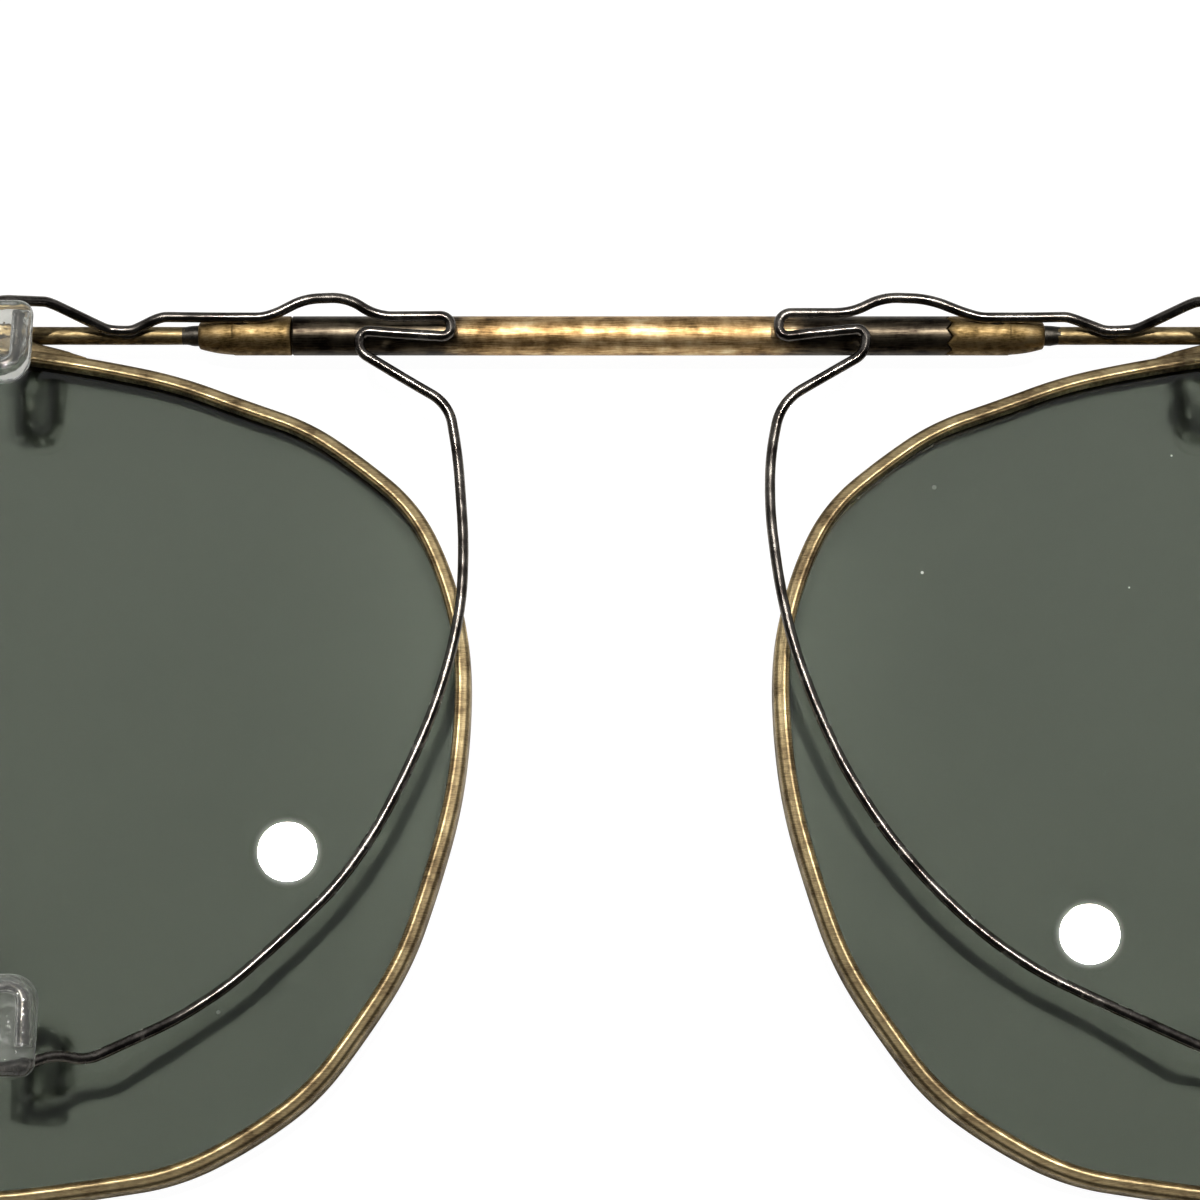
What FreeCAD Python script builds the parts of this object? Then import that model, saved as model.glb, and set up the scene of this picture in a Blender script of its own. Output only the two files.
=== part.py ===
import FreeCAD, Part
import math
import os

# Clip-on sunglasses that hook over a pair of spectacles.
# Two framed lenses ride on a sprung telescopic bridge tube, and one spring wire per lens
# carries an upper and a lower claw with a clear pad on each.
#
# The glasses lie on the front faces of their rims: +Z points to the wearer, +Y to the top bars,
# and X runs along the bridge. The origin is under the middle of the whole object, on the
# plane of the rims' front faces. All sizes are in millimetres.

# Rims and lenses
LENS_GAP = 15.3          # between the outer edges of the two rims, at the nose
RIM_WIDTH = 50.7         # outside, along X
RIM_HEIGHT = 44.5        # outside, along Y
RIM_RADIAL = 0.8         # rim section, in the plane of the lens
RIM_DEPTH = 2.2          # rim section, front to back
RIM_ROUND = 0.3          # rounding on the rim's four long edges
LENS_THICKNESS = 1.2
LENS_FRONT = 0.35        # front face of the glass behind the front of the rim
GROOVE_DEPTH = 0.35      # how far the glass enters the rim
GROOVE_CLEARANCE = 0.02
RIM_SPLIT = 0.16         # saw cut through the rim at the closing blocks
SPLIT_HEIGHT = 3.0       # of the saw cut above the middle of the lens

# Braze between the top of the rim and the bar
SADDLE_OUTWARD = 1.5     # its middle, outward from the middle of the lens
SADDLE_TOP_LENGTH = 7.2
SADDLE_FOOT_LENGTH = 9.2
SADDLE_TOP_DROP = 0.4    # its top below the bridge axis
SADDLE_FRONT = 0.62      # its front face before the bridge axis

# Bridge
TUBE_LENGTH = 34.4
TUBE_DIAMETER = 2.05
TUBE_WALL = 0.25
AXIS_HEIGHT = 1.7        # bridge axis above the front of the rims
BAR_DIAMETER = 0.95      # top bar and slide rod are one straight rod
BAR_DROP = 0.025         # play between the bar's underside and the top of the rim
BAR_PAST_CENTRE = 7.0    # how far the bar runs past the middle of the lens
COLLAR_LENGTH = 3.05     # its full-diameter part
COLLAR_TAPER = 1.8
COLLAR_TIP_DIAMETER = 1.42
SEAM_GAP = 0.05          # between tube end and collar
TOOTH_COUNT = 8          # V teeth of the keyed seam on the right
TOOTH_DEPTH = 0.26
TOOTH_SHARE = 0.92       # of the pitch that a tooth fills

# Slide inside the tube
SLIDE_TRAVEL = 4.0
BUSHING_LENGTH = 6.0
BUSHING_SET_BACK = 0.1   # bushing behind the tube's end
SLIDE_CLEARANCE = 0.03   # radial, rod in bushing
HEAD_LENGTH = 1.0
HEAD_CLEARANCE = 0.06    # radial, rod head in the tube
HEAD_END_PLAY = 0.25     # left between head and bushing when fully drawn out
BRAZE_PLAY = 0.005       # radial, between brazed round parts
CRIMP_FROM_END = 5.15
CRIMP_RADIUS = 0.45
CRIMP_DEPTH = 0.15
CRIMP_ANGLE = 50.0       # from straight back towards the cheeks
CRIMP_BUMP = 0.12
CRIMP_CLEARANCE = 0.02
SPRING_WIRE = 0.2
SPRING_COIL_RADIUS = 0.45
SPRING_TURNS = 20
SPRING_END_PLAY = 0.1

# Closing blocks on the temple side of each rim
BLOCK_REACH = 2.0        # outward from the rim
BLOCK_HEIGHT = 2.2       # each half
BLOCK_INSET = 0.15       # behind the front and back of the rim
BLOCK_ROUND = 0.4
BLOCK_OVERLAP = 0.3      # into the rim's rounded edge
SCREW_DIAMETER = 0.9
SCREW_HOLE_CLEARANCE = 0.02
SCREW_HEAD_DIAMETER = 1.5
SCREW_HEAD_HEIGHT = 0.55
SCREW_SLOT_WIDTH = 0.25
SCREW_SLOT_DEPTH = 0.25

# Claw wires and pads
WIRE_DIAMETER = 0.55
BRAZE_SINK = 0.03        # how deep the wire beds into bar and collar
BED_ANGLE = 27.0         # where the wire lies on the collar, from straight back towards the brow
LEFT_BED_INWARD = 6.9    # where the wire leaves the bar, inward from the middle of the lens
RIGHT_BED_INWARD = 7.2
BED_LENGTH = 0.6
LEFT_RISE_OUTWARD = 2.2    # where the wire has risen beside the bar, outward from the collar's tip
RIGHT_RISE_OUTWARD = 1.55
LOOP_CLEARANCE = 0.25    # finger loops over the tube
RIM_CLEARANCE = 0.5      # wire over the back of the rim
PAD_WIDTH = 3.05
PAD_THICKNESS = 1.4
PAD_GAP = 4.35           # between the back of the rim and the pad: the spectacle lens goes here
PAD_NOSE_ROUND = 1.3     # corners at the free end of a pad
PAD_HEEL_ROUND = 0.7
PAD_EDGE_ROUND = 0.35
PAD_HEEL_DROP = 0.3      # heel past the bend of the wire
UPPER_PAD_LENGTH = 4.32
LOWER_PAD_LENGTH = 4.85
UPPER_PAD_INWARD = 1.75  # pad's middle, inward from the middle of the lens
LOWER_PAD_INWARD = 3.82
HUMP_RISE = 1.58         # wire above the bridge axis, where it steps over the tube's end
LOWER_CLAW_RISE = 6.05   # lowest point of the lower claw above the bottom of the rim
RIGHT_LOWER_SHIFT = 2.4  # the right lower claw was bent further out
RIGHT_LOWER_LIFT = 0.45  # and higher

# The rim's outline: share of half width, share of half height, heading in degrees.
# It runs anticlockwise on the right lens, with the nose at -1.
OUTLINE = [
    (0.118, 1.0, 180),
    (-0.323, 0.936, 194),
    (-0.604, 0.829, 202),
    (-0.832, 0.663, 224),
    (-0.982, 0.348, 258),
    (-1.0, 0.160, 270),
    (-0.963, -0.191, 283),
    (-0.844, -0.548, 299),
    (-0.655, -0.809, 320),
    (-0.375, -0.957, 350),
    (0.0, -1.0, 0),
    (0.454, -0.926, 17),
    (0.769, -0.688, 50),
    (0.959, -0.270, 75),
    (1.0, 0.135, 90),
    (0.931, 0.539, 112),
    (0.742, 0.791, 150),
    (0.434, 0.944, 163),
]

# Worked out from the sizes above
BAR_RADIUS = BAR_DIAMETER / 2
TUBE_RADIUS = TUBE_DIAMETER / 2
BORE_RADIUS = TUBE_RADIUS - TUBE_WALL
WIRE_RADIUS = WIRE_DIAMETER / 2
TUBE_END = TUBE_LENGTH / 2
RIM_TOP = -BAR_RADIUS - BAR_DROP
BAR_Y = (RIM_HEIGHT - RIM_TOP - HUMP_RISE - WIRE_RADIUS) / 2
LENS_X = (LENS_GAP + RIM_WIDTH) / 2
LENS_Y = BAR_Y + RIM_TOP - RIM_HEIGHT / 2
RIM_BOTTOM = LENS_Y - RIM_HEIGHT / 2
NOSE_X = LENS_GAP / 2
SPLIT_Y = LENS_Y + SPLIT_HEIGHT
COLLAR_START = TUBE_END + SEAM_GAP
COLLAR_STEP = COLLAR_START + COLLAR_LENGTH
COLLAR_TIP = COLLAR_STEP + COLLAR_TAPER
BUSHING_OUTER_END = TUBE_END - BUSHING_SET_BACK
BUSHING_INNER_END = BUSHING_OUTER_END - BUSHING_LENGTH
HEAD_OUTER_END = BUSHING_INNER_END - HEAD_END_PLAY - SLIDE_TRAVEL
ROD_END = HEAD_OUTER_END - HEAD_LENGTH
BAR_END = LENS_X + BAR_PAST_CENTRE
WIRE_ON_BAR = AXIS_HEIGHT + BAR_RADIUS + WIRE_RADIUS - BRAZE_SINK
WIRE_ON_RIM = RIM_DEPTH + RIM_CLEARANCE + WIRE_RADIUS
LOOP_HEIGHT = AXIS_HEIGHT + TUBE_RADIUS + LOOP_CLEARANCE + WIRE_RADIUS
PAD_HEIGHT = RIM_DEPTH + PAD_GAP + PAD_THICKNESS / 2
COLLAR_BED = TUBE_RADIUS + WIRE_RADIUS - BRAZE_SINK
BED_RISE = COLLAR_BED * math.sin(math.radians(BED_ANGLE))
BED_HEIGHT = AXIS_HEIGHT + COLLAR_BED * math.cos(math.radians(BED_ANGLE))
CLAW_TOP_LIFT = PAD_HEIGHT - WIRE_ON_BAR
CLAW_LOW_LIFT = PAD_HEIGHT - WIRE_ON_RIM


def point(x, y, z):
    return FreeCAD.Vector(x, y, z)


def direction(degrees):
    angle = math.radians(degrees)
    return point(math.cos(angle), math.sin(angle), 0)


# Curves

def arc_leaving(start, heading, end):
    """Arc from start to end that leaves start along the unit vector heading, in the XY plane."""
    chord = end - start
    normal = point(-heading.y, heading.x, 0)
    offset = normal.dot(chord)
    if abs(offset) < 1e-6:
        return Part.LineSegment(start, end).toShape()
    radius = chord.dot(chord) / (2 * offset)
    centre = start + normal * radius
    bulge = (start - centre) + (end - centre)
    middle = centre + bulge.normalize() * abs(radius)
    return Part.Arc(start, middle, end).toShape()


def biarc(start, start_heading, end, end_heading):
    """Two arcs that join start to end and keep both headings."""
    span = end - start
    both = start_heading + end_heading
    spread = 2 * (1 - start_heading.dot(end_heading))
    along = span.dot(both)
    reach = (-along + math.sqrt(along * along + spread * span.dot(span))) / spread
    joint = (start + start_heading * reach + end - end_heading * reach) * 0.5
    first = arc_leaving(start, start_heading, joint)
    second = arc_leaving(end, end_heading * -1, joint)
    return [first, second]


def rim_outline():
    """Outer outline of the right rim, at the level of its front face."""
    half_width = RIM_WIDTH / 2
    half_height = RIM_HEIGHT / 2
    knots = []
    for across, up, heading in OUTLINE:
        place = point(LENS_X + across * half_width, LENS_Y + up * half_height, 0)
        way = direction(heading)
        knots.append((place, point(way.x * half_width, way.y * half_height, 0).normalize()))
    edges = []
    for index, (place, way) in enumerate(knots):
        next_place, next_way = knots[(index + 1) % len(knots)]
        edges += biarc(place, way, next_place, next_way)
    return Part.Wire(Part.__sortEdges__(edges))


def inset(outline, distance):
    return outline.makeOffset2D(-distance)


def plate(outline, low, high):
    """Flat plate of an outline between two heights."""
    face = Part.Face(outline)
    face.translate(point(0, 0, low))
    return face.extrude(point(0, 0, high - low))


def rounded_path(points):
    """Straight runs joined by tangent arcs, each as large as its two runs allow."""
    edges = []
    start = points[0]
    for index in range(1, len(points) - 1):
        corner = points[index]
        back = points[index - 1] - corner
        ahead = points[index + 1] - corner
        reach = 0.45 * min(back.Length, ahead.Length)
        back.normalize()
        ahead.normalize()
        enter = corner + back * reach
        leave = corner + ahead * reach
        half_turn = (math.pi - back.getAngle(ahead)) / 2
        radius = reach / math.tan(half_turn)
        bisector = (back + ahead).normalize()
        sagitta = radius / math.cos(half_turn) - radius
        edges.append(Part.LineSegment(start, enter).toShape())
        edges.append(Part.Arc(enter, corner + bisector * sagitta, leave).toShape())
        start = leave
    edges.append(Part.LineSegment(start, points[-1]).toShape())
    return Part.Wire(edges)


def round_wire(points, radius):
    """Round wire along a rounded path."""
    path = rounded_path(points)
    heading = points[1] - points[0]
    section = Part.Wire(Part.makeCircle(radius, points[0], heading))
    return path.makePipeShell([section], True, False)


# Round parts on the bridge axis

def rod(start, end, radius):
    return Part.makeCylinder(radius, end - start, point(start, BAR_Y, AXIS_HEIGHT), point(1, 0, 0))


def ring(start, end, outer, inner):
    return rod(start, end, outer).cut(rod(start, end, inner))


def around_axis(shape, degrees):
    copy = shape.copy()
    copy.rotate(point(0, BAR_Y, AXIS_HEIGHT), point(1, 0, 0), degrees)
    return copy


def tooth_wedges(shift):
    """V-shaped wedges all round the right end of the tube, moved outward by shift."""
    half_base = TOOTH_SHARE * math.pi * TUBE_RADIUS / TOOTH_COUNT
    inner = AXIS_HEIGHT + BORE_RADIUS / 2
    corners = [
        point(TUBE_END + shift, BAR_Y - half_base, inner),
        point(TUBE_END + shift, BAR_Y + half_base, inner),
        point(TUBE_END + shift - TOOTH_DEPTH, BAR_Y, inner),
    ]
    face = Part.Face(Part.makePolygon(corners + [corners[0]]))
    wedge = face.extrude(point(0, 0, TUBE_RADIUS))
    return [around_axis(wedge, 360 * index / TOOTH_COUNT) for index in range(TOOTH_COUNT)]


def crimp_ball(side, distance, radius):
    angle = math.radians(CRIMP_ANGLE)
    centre = point(side * (TUBE_END - CRIMP_FROM_END),
                   BAR_Y - distance * math.sin(angle),
                   AXIS_HEIGHT + distance * math.cos(angle))
    return Part.makeSphere(radius, centre)


def crimp_bump(side, clearance):
    """Inside of a crimp: the bump that holds the guide bushing."""
    return crimp_ball(side, BORE_RADIUS - CRIMP_BUMP + CRIMP_RADIUS, CRIMP_RADIUS + clearance)


def bridge_tube():
    outer = rod(-TUBE_END, TUBE_END, TUBE_RADIUS)
    tube = outer.cut(rod(-TUBE_END, TUBE_END, BORE_RADIUS))
    for side in (-1, 1):
        tube = tube.fuse(crimp_bump(side, 0).common(outer))
        tube = tube.cut(crimp_ball(side, TUBE_RADIUS + CRIMP_RADIUS - CRIMP_DEPTH, CRIMP_RADIUS))
    return tube.cut(tooth_wedges(0)).removeSplitter()


def guide_bushing():
    bushing = ring(BUSHING_INNER_END, BUSHING_OUTER_END,
                   BORE_RADIUS - BRAZE_PLAY, BAR_RADIUS + SLIDE_CLEARANCE)
    return bushing.cut(crimp_bump(1, CRIMP_CLEARANCE))


def bridge_spring():
    """Tension spring between the two rod heads."""
    length = 2 * (ROD_END - SPRING_END_PLAY) - SPRING_WIRE
    helix = Part.makeHelix(length / SPRING_TURNS, length, SPRING_COIL_RADIUS)
    section = Part.Wire(Part.makeCircle(SPRING_WIRE / 2, point(SPRING_COIL_RADIUS, 0, 0), point(0, 1, 0)))
    spring = Part.Wire(helix).makePipeShell([section], True, True)
    spring.rotate(point(0, 0, 0), point(0, 1, 0), 90)
    spring.translate(point(-length / 2, BAR_Y, AXIS_HEIGHT))
    return spring


def top_bar():
    """Straight rod: slide rod inside the tube, top bar outside it."""
    bar = rod(ROD_END, BAR_END, BAR_RADIUS)
    tip = [edge for edge in bar.Edges if edge.BoundBox.XMin > BAR_END - 0.01]
    return bar.makeFillet(BAR_RADIUS / 2, tip)


def rod_head():
    return ring(ROD_END, HEAD_OUTER_END, BORE_RADIUS - HEAD_CLEARANCE, BAR_RADIUS + BRAZE_PLAY)


def collar(toothed):
    """Tapered collar brazed on the bar, with teeth that key into the tube on the right."""
    tip_radius = COLLAR_TIP_DIAMETER / 2
    body = rod(COLLAR_START, COLLAR_STEP, TUBE_RADIUS)
    cone = Part.makeCone(TUBE_RADIUS, tip_radius, COLLAR_TAPER,
                         point(COLLAR_STEP, BAR_Y, AXIS_HEIGHT), point(1, 0, 0))
    body = body.fuse(cone)
    if toothed:
        wall = ring(TUBE_END - TOOTH_DEPTH, COLLAR_START, TUBE_RADIUS, BORE_RADIUS)
        for wedge in tooth_wedges(SEAM_GAP):
            body = body.fuse(wall.common(wedge))
    body = body.removeSplitter()
    return body.cut(rod(COLLAR_START, COLLAR_TIP, BAR_RADIUS + BRAZE_PLAY))


# Rim, lens and closing

def rim_ring(outline):
    """Rim section all round, with rounded edges and the groove for the glass."""
    opening = inset(outline, RIM_RADIAL)
    body = plate(outline, 0, RIM_DEPTH).cut(plate(opening, 0, RIM_DEPTH))
    long_edges = []
    for edge in body.Edges:
        box = edge.BoundBox
        if box.ZLength < 1e-6:
            long_edges.append(edge)
    body = body.makeFillet(RIM_ROUND, long_edges)
    groove = plate(inset(outline, RIM_RADIAL - GROOVE_DEPTH - GROOVE_CLEARANCE),
                   LENS_FRONT - GROOVE_CLEARANCE, LENS_FRONT + LENS_THICKNESS + GROOVE_CLEARANCE)
    return body.cut(groove)


def braze_saddle():
    """Braze between the top of the rim and the underside of the bar, tapered at both ends."""
    top = BAR_Y - SADDLE_TOP_DROP
    low = BAR_Y + RIM_TOP - RIM_RADIAL / 2
    middle = LENS_X + SADDLE_OUTWARD
    corners = [
        point(middle - SADDLE_TOP_LENGTH / 2, top, 0),
        point(middle + SADDLE_TOP_LENGTH / 2, top, 0),
        point(middle + SADDLE_FOOT_LENGTH / 2, low, 0),
        point(middle - SADDLE_FOOT_LENGTH / 2, low, 0),
    ]
    face = Part.Wire(Part.makePolygon(corners + [corners[0]]))
    return plate(face, AXIS_HEIGHT - SADDLE_FRONT, RIM_DEPTH - RIM_ROUND)


def rim(outline, lens_space):
    body = rim_ring(outline)
    saddle = braze_saddle().cut(rod(ROD_END, BAR_END, BAR_RADIUS + BRAZE_PLAY)).cut(lens_space)
    body = body.fuse(saddle)
    saw = Part.makeBox(4 * RIM_RADIAL, RIM_SPLIT, 2 * RIM_DEPTH,
                       point(LENS_X + RIM_WIDTH / 2 - 2 * RIM_RADIAL, SPLIT_Y - RIM_SPLIT / 2, -RIM_DEPTH / 2))
    return body.cut(saw)


def lens(outline):
    edge = inset(outline, RIM_RADIAL - GROOVE_DEPTH)
    return plate(edge, LENS_FRONT, LENS_FRONT + LENS_THICKNESS)


def screw_axis_x():
    return LENS_X + RIM_WIDTH / 2 + BLOCK_REACH / 2


def closing_block(part, rim_solid):
    """Half of the closing block, part is +1 for the upper half and -1 for the lower."""
    inner = LENS_X + RIM_WIDTH / 2 - BLOCK_OVERLAP
    width = BLOCK_REACH + BLOCK_OVERLAP
    depth = RIM_DEPTH - 2 * BLOCK_INSET
    near = SPLIT_Y + RIM_SPLIT / 2
    block = Part.makeBox(width, BLOCK_HEIGHT, depth, point(inner, near, BLOCK_INSET))
    outer = [edge for edge in block.Edges
             if edge.BoundBox.XMin > inner + width - 0.01 and edge.BoundBox.YMin > near + 0.01]
    block = block.makeFillet(BLOCK_ROUND, outer)
    if part < 0:
        block = block.mirror(point(0, SPLIT_Y, 0), point(0, 1, 0))
    hole = Part.makeCylinder(SCREW_DIAMETER / 2 + SCREW_HOLE_CLEARANCE, 4 * BLOCK_HEIGHT,
                             point(screw_axis_x(), SPLIT_Y - 2 * BLOCK_HEIGHT, RIM_DEPTH / 2), point(0, 1, 0))
    return block.cut(rim_solid).cut(hole)


def rim_screw():
    """Slotted screw that draws the two closing blocks together."""
    bottom = SPLIT_Y - RIM_SPLIT / 2 - BLOCK_HEIGHT
    top = SPLIT_Y + RIM_SPLIT / 2 + BLOCK_HEIGHT
    x = screw_axis_x()
    shank = Part.makeCylinder(SCREW_DIAMETER / 2, top - bottom, point(x, bottom, RIM_DEPTH / 2), point(0, 1, 0))
    head = Part.makeCylinder(SCREW_HEAD_DIAMETER / 2, SCREW_HEAD_HEIGHT, point(x, top, RIM_DEPTH / 2),
                             point(0, 1, 0))
    crown = [edge for edge in head.Edges if edge.BoundBox.YMin > top + SCREW_HEAD_HEIGHT - 0.01]
    head = head.makeFillet(SCREW_HEAD_HEIGHT / 3, crown)
    slot = Part.makeBox(SCREW_SLOT_WIDTH, SCREW_SLOT_DEPTH, 2 * SCREW_HEAD_DIAMETER,
                        point(x - SCREW_SLOT_WIDTH / 2, top + SCREW_HEAD_HEIGHT - SCREW_SLOT_DEPTH,
                              RIM_DEPTH / 2 - SCREW_HEAD_DIAMETER))
    return shank.fuse(head).cut(slot).removeSplitter()


# Claw wires: every point is outward from the nose, then above the bridge axis, then the height

def place(points):
    return [point(x, BAR_Y + y, z) for x, y, z in points]


def upper_claw():
    """Hairpin in the upper pad, then over the top of the spectacle lens and down to the bar."""
    x = LENS_X
    return [
        (x - 2.6, -0.9, PAD_HEIGHT),
        (x - 2.55, -3.75, PAD_HEIGHT),
        (x - 0.95, -3.75, PAD_HEIGHT),
        (x - 0.85, -0.5, PAD_HEIGHT),
        (x - 1.5, 0.1, PAD_HEIGHT - 0.16 * CLAW_TOP_LIFT),
        (x - 3.35, 0.8, WIRE_ON_BAR + 0.43 * CLAW_TOP_LIFT),
        (x - 3.75, 0.75, WIRE_ON_BAR + 0.36 * CLAW_TOP_LIFT),
        (x - 6.2, 0.05, WIRE_ON_BAR),
    ]


def collar_run(bed_start, rise_outward):
    """Along the bar, up onto the collar, and over the hump that clears the tube's end."""
    return [
        (bed_start, 0.0, WIRE_ON_BAR),
        (bed_start - BED_LENGTH, 0.0, WIRE_ON_BAR),
        (COLLAR_TIP + rise_outward, BED_RISE - 0.05, WIRE_ON_BAR + 0.25),
        (COLLAR_TIP + rise_outward - 0.45, BED_RISE + 0.08, WIRE_ON_BAR + 0.3),
        (COLLAR_STEP + 0.6, BED_RISE, BED_HEIGHT),
        (COLLAR_STEP - 1.6, BED_RISE, BED_HEIGHT),
    ]


def left_loops():
    end = TUBE_END
    return [
        (end + 0.75, 0.80, BED_HEIGHT + 0.05),
        (end - 0.7, HUMP_RISE, BED_HEIGHT + 0.1),
        (end - 2.9, HUMP_RISE, LOOP_HEIGHT - 0.1),
        (end - 4.5, 0.47, LOOP_HEIGHT),
        (end - 8.3, 0.50, LOOP_HEIGHT),
        (end - 8.4, -0.64, LOOP_HEIGHT),
        (end - 5.6, -0.47, LOOP_HEIGHT),
        (end - 3.65, -0.30, LOOP_HEIGHT),
        (end - 3.60, -1.45, LOOP_HEIGHT),
        (end - 6.3, -3.15, LOOP_HEIGHT),
    ]


def right_loops():
    end = TUBE_END
    return [
        (end + 0.7, 0.80, BED_HEIGHT + 0.05),
        (end - 1.2, HUMP_RISE, BED_HEIGHT + 0.1),
        (end - 3.6, HUMP_RISE, LOOP_HEIGHT - 0.1),
        (end - 5.3, 0.66, LOOP_HEIGHT),
        (end - 9.0, 0.66, LOOP_HEIGHT),
        (end - 9.1, -0.68, LOOP_HEIGHT),
        (end - 7.3, -0.45, LOOP_HEIGHT),
        (end - 4.5, -0.16, LOOP_HEIGHT),
        (end - 4.6, -1.55, LOOP_HEIGHT),
        (end - 6.6, -2.75, LOOP_HEIGHT),
    ]


def left_nose_run():
    """Down the nose side of the rim, over it, and out across the back of the lens."""
    x = NOSE_X
    y = LENS_Y - BAR_Y
    z = WIRE_ON_RIM
    return [
        (x + 1.25, y + 18.45, z + 0.1),
        (x + 0.75, y + 15.6, z),
        (x + 0.40, y + 11.2, z),
        (x + 0.45, y + 8.1, z),
        (x + 0.95, y + 5.2, z),
        (x + 1.75, y + 2.4, z),
        (x + 2.95, y - 0.6, z),
        (x + 4.5, y - 3.8, z),
        (x + 6.35, y - 6.6, z + 0.1),
        (x + 8.8, y - 9.1, z + 0.2),
        (x + 11.5, y - 11.6, z + 0.3),
        (x + 14.0, y - 13.3, z + 0.5),
    ]


def right_nose_run():
    """The same run as the left wire's, as this one was bent by hand."""
    x = NOSE_X
    y = LENS_Y - BAR_Y
    z = WIRE_ON_RIM
    return [
        (x + 0.55, y + 18.6, z + 0.1),
        (x - 0.05, y + 15.6, z),
        (x - 0.10, y + 12.6, z),
        (x + 0.30, y + 8.9, z),
        (x + 1.0, y + 5.5, z),
        (x + 2.1, y + 2.3, z),
        (x + 3.4, y - 0.7, z),
        (x + 5.3, y - 3.85, z),
        (x + 7.4, y - 6.5, z + 0.1),
        (x + 9.9, y - 9.0, z + 0.2),
        (x + 12.6, y - 10.95, z + 0.3),
        (x + 15.8, y - 12.55, z + 0.5),
    ]


def lower_claw(shift, lift):
    """Under the bottom of the spectacle lens and up into the hairpin in the lower pad."""
    x = LENS_X - 4.15 + shift
    y = RIM_BOTTOM - BAR_Y + LOWER_CLAW_RISE + lift
    z = WIRE_ON_RIM
    return [
        (x - 3.2, y + 0.75, z + 0.46 * CLAW_LOW_LIFT),
        (x - 1.9, y + 0.95, z + 0.66 * CLAW_LOW_LIFT),
        (x - 0.6, y + 0.35, z + 0.88 * CLAW_LOW_LIFT),
        (x + 0.9, y, PAD_HEIGHT - 0.1),
        (x + 1.15, y + 3.95, PAD_HEIGHT),
        (x - 0.50, y + 3.95, PAD_HEIGHT),
        (x - 0.55, y + 1.1, PAD_HEIGHT),
    ]


def claw_wire(points):
    """One wire from the upper hairpin to the lower one, with its volume checked."""
    path = place(points)
    wire = round_wire(path, WIRE_RADIUS)
    expected = rounded_path(path).Length * math.pi * WIRE_RADIUS ** 2
    print("claw wire volume", round(wire.Volume, 2), "section times length", round(expected, 2))
    return wire


def upright_edges(body, y):
    """Edges of a body that run along Z at one place along Y."""
    found = []
    for edge in body.Edges:
        box = edge.BoundBox
        upright = box.XLength + box.YLength < 1e-6
        if upright and abs(box.YMin - y) < 0.01:
            found.append(edge)
    return found


def pad(middle_x, nose_y, heel_y):
    """Clear pad around a hairpin; nose_y is its free end and heel_y where the wire enters."""
    low = min(nose_y, heel_y)
    height = abs(heel_y - nose_y)
    body = Part.makeBox(PAD_WIDTH, height, PAD_THICKNESS,
                        point(middle_x - PAD_WIDTH / 2, BAR_Y + low, PAD_HEIGHT - PAD_THICKNESS / 2))
    body = body.makeFillet(PAD_NOSE_ROUND, upright_edges(body, BAR_Y + nose_y))
    body = body.makeFillet(PAD_HEEL_ROUND, upright_edges(body, BAR_Y + heel_y))
    flat_edges = [edge for edge in body.Edges if edge.BoundBox.ZLength < 1e-6]
    return body.makeFillet(PAD_EDGE_ROUND, flat_edges)


def upper_pad(wire):
    heel = -PAD_HEEL_DROP
    return pad(LENS_X - UPPER_PAD_INWARD, heel - UPPER_PAD_LENGTH, heel).cut(wire)


def lower_pad(wire, shift, lift):
    heel = RIM_BOTTOM - BAR_Y + LOWER_CLAW_RISE + lift - PAD_HEEL_DROP
    return pad(LENS_X - LOWER_PAD_INWARD + shift, heel + LOWER_PAD_LENGTH, heel).cut(wire)


# Assembly

def frame_side(toothed, wire_points, lower_shift, lower_lift):
    """All pieces of one lens frame, built on the right."""
    outline = rim_outline()
    glass = lens(outline)
    lens_space = plate(inset(outline, RIM_RADIAL), -1, RIM_DEPTH + 1)
    wire = claw_wire(wire_points)
    bar = top_bar()
    rim_solid = rim(outline, lens_space)
    return {
        "top_bar": bar.cut(wire),
        "rod_head": rod_head(),
        "collar": collar(toothed).cut(wire),
        "rim": rim_solid,
        "lens": glass,
        "closing_block_upper": closing_block(1, rim_solid),
        "closing_block_lower": closing_block(-1, rim_solid),
        "rim_screw": rim_screw(),
        "claw_wire": wire,
        "upper_pad": upper_pad(wire),
        "lower_pad": lower_pad(wire, lower_shift, lower_lift),
    }


def mirrored(shape):
    return shape.mirror(point(0, 0, 0), point(1, 0, 0))


def all_parts():
    left_wire = (upper_claw() + collar_run(LENS_X - LEFT_BED_INWARD, LEFT_RISE_OUTWARD)
                 + left_loops() + left_nose_run() + lower_claw(0, 0))
    right_wire = (upper_claw() + collar_run(LENS_X - RIGHT_BED_INWARD, RIGHT_RISE_OUTWARD)
                  + right_loops() + right_nose_run() + lower_claw(RIGHT_LOWER_SHIFT, RIGHT_LOWER_LIFT))
    parts = {
        "bridge_tube": bridge_tube(),
        "bridge_spring": bridge_spring(),
        "right_guide_bushing": guide_bushing(),
        "left_guide_bushing": mirrored(guide_bushing()),
    }
    for name, shape in frame_side(True, right_wire, RIGHT_LOWER_SHIFT, RIGHT_LOWER_LIFT).items():
        parts["right_" + name] = shape
    for name, shape in frame_side(False, left_wire, 0, 0).items():
        parts["left_" + name] = mirrored(shape)
    return parts


def main():
    os.makedirs("parts", exist_ok=True)
    for name, shape in all_parts().items():
        print(name, "solids", len(shape.Solids), "valid", shape.isValid(), "volume", round(shape.Volume, 3))
        shape.exportStep("parts/" + name + ".step")


main()
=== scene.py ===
import logging
import math
from dataclasses import dataclass
from enum import Enum
from typing import Callable, Optional, Sequence

import bpy
from mathutils import Matrix, Vector, noise


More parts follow.
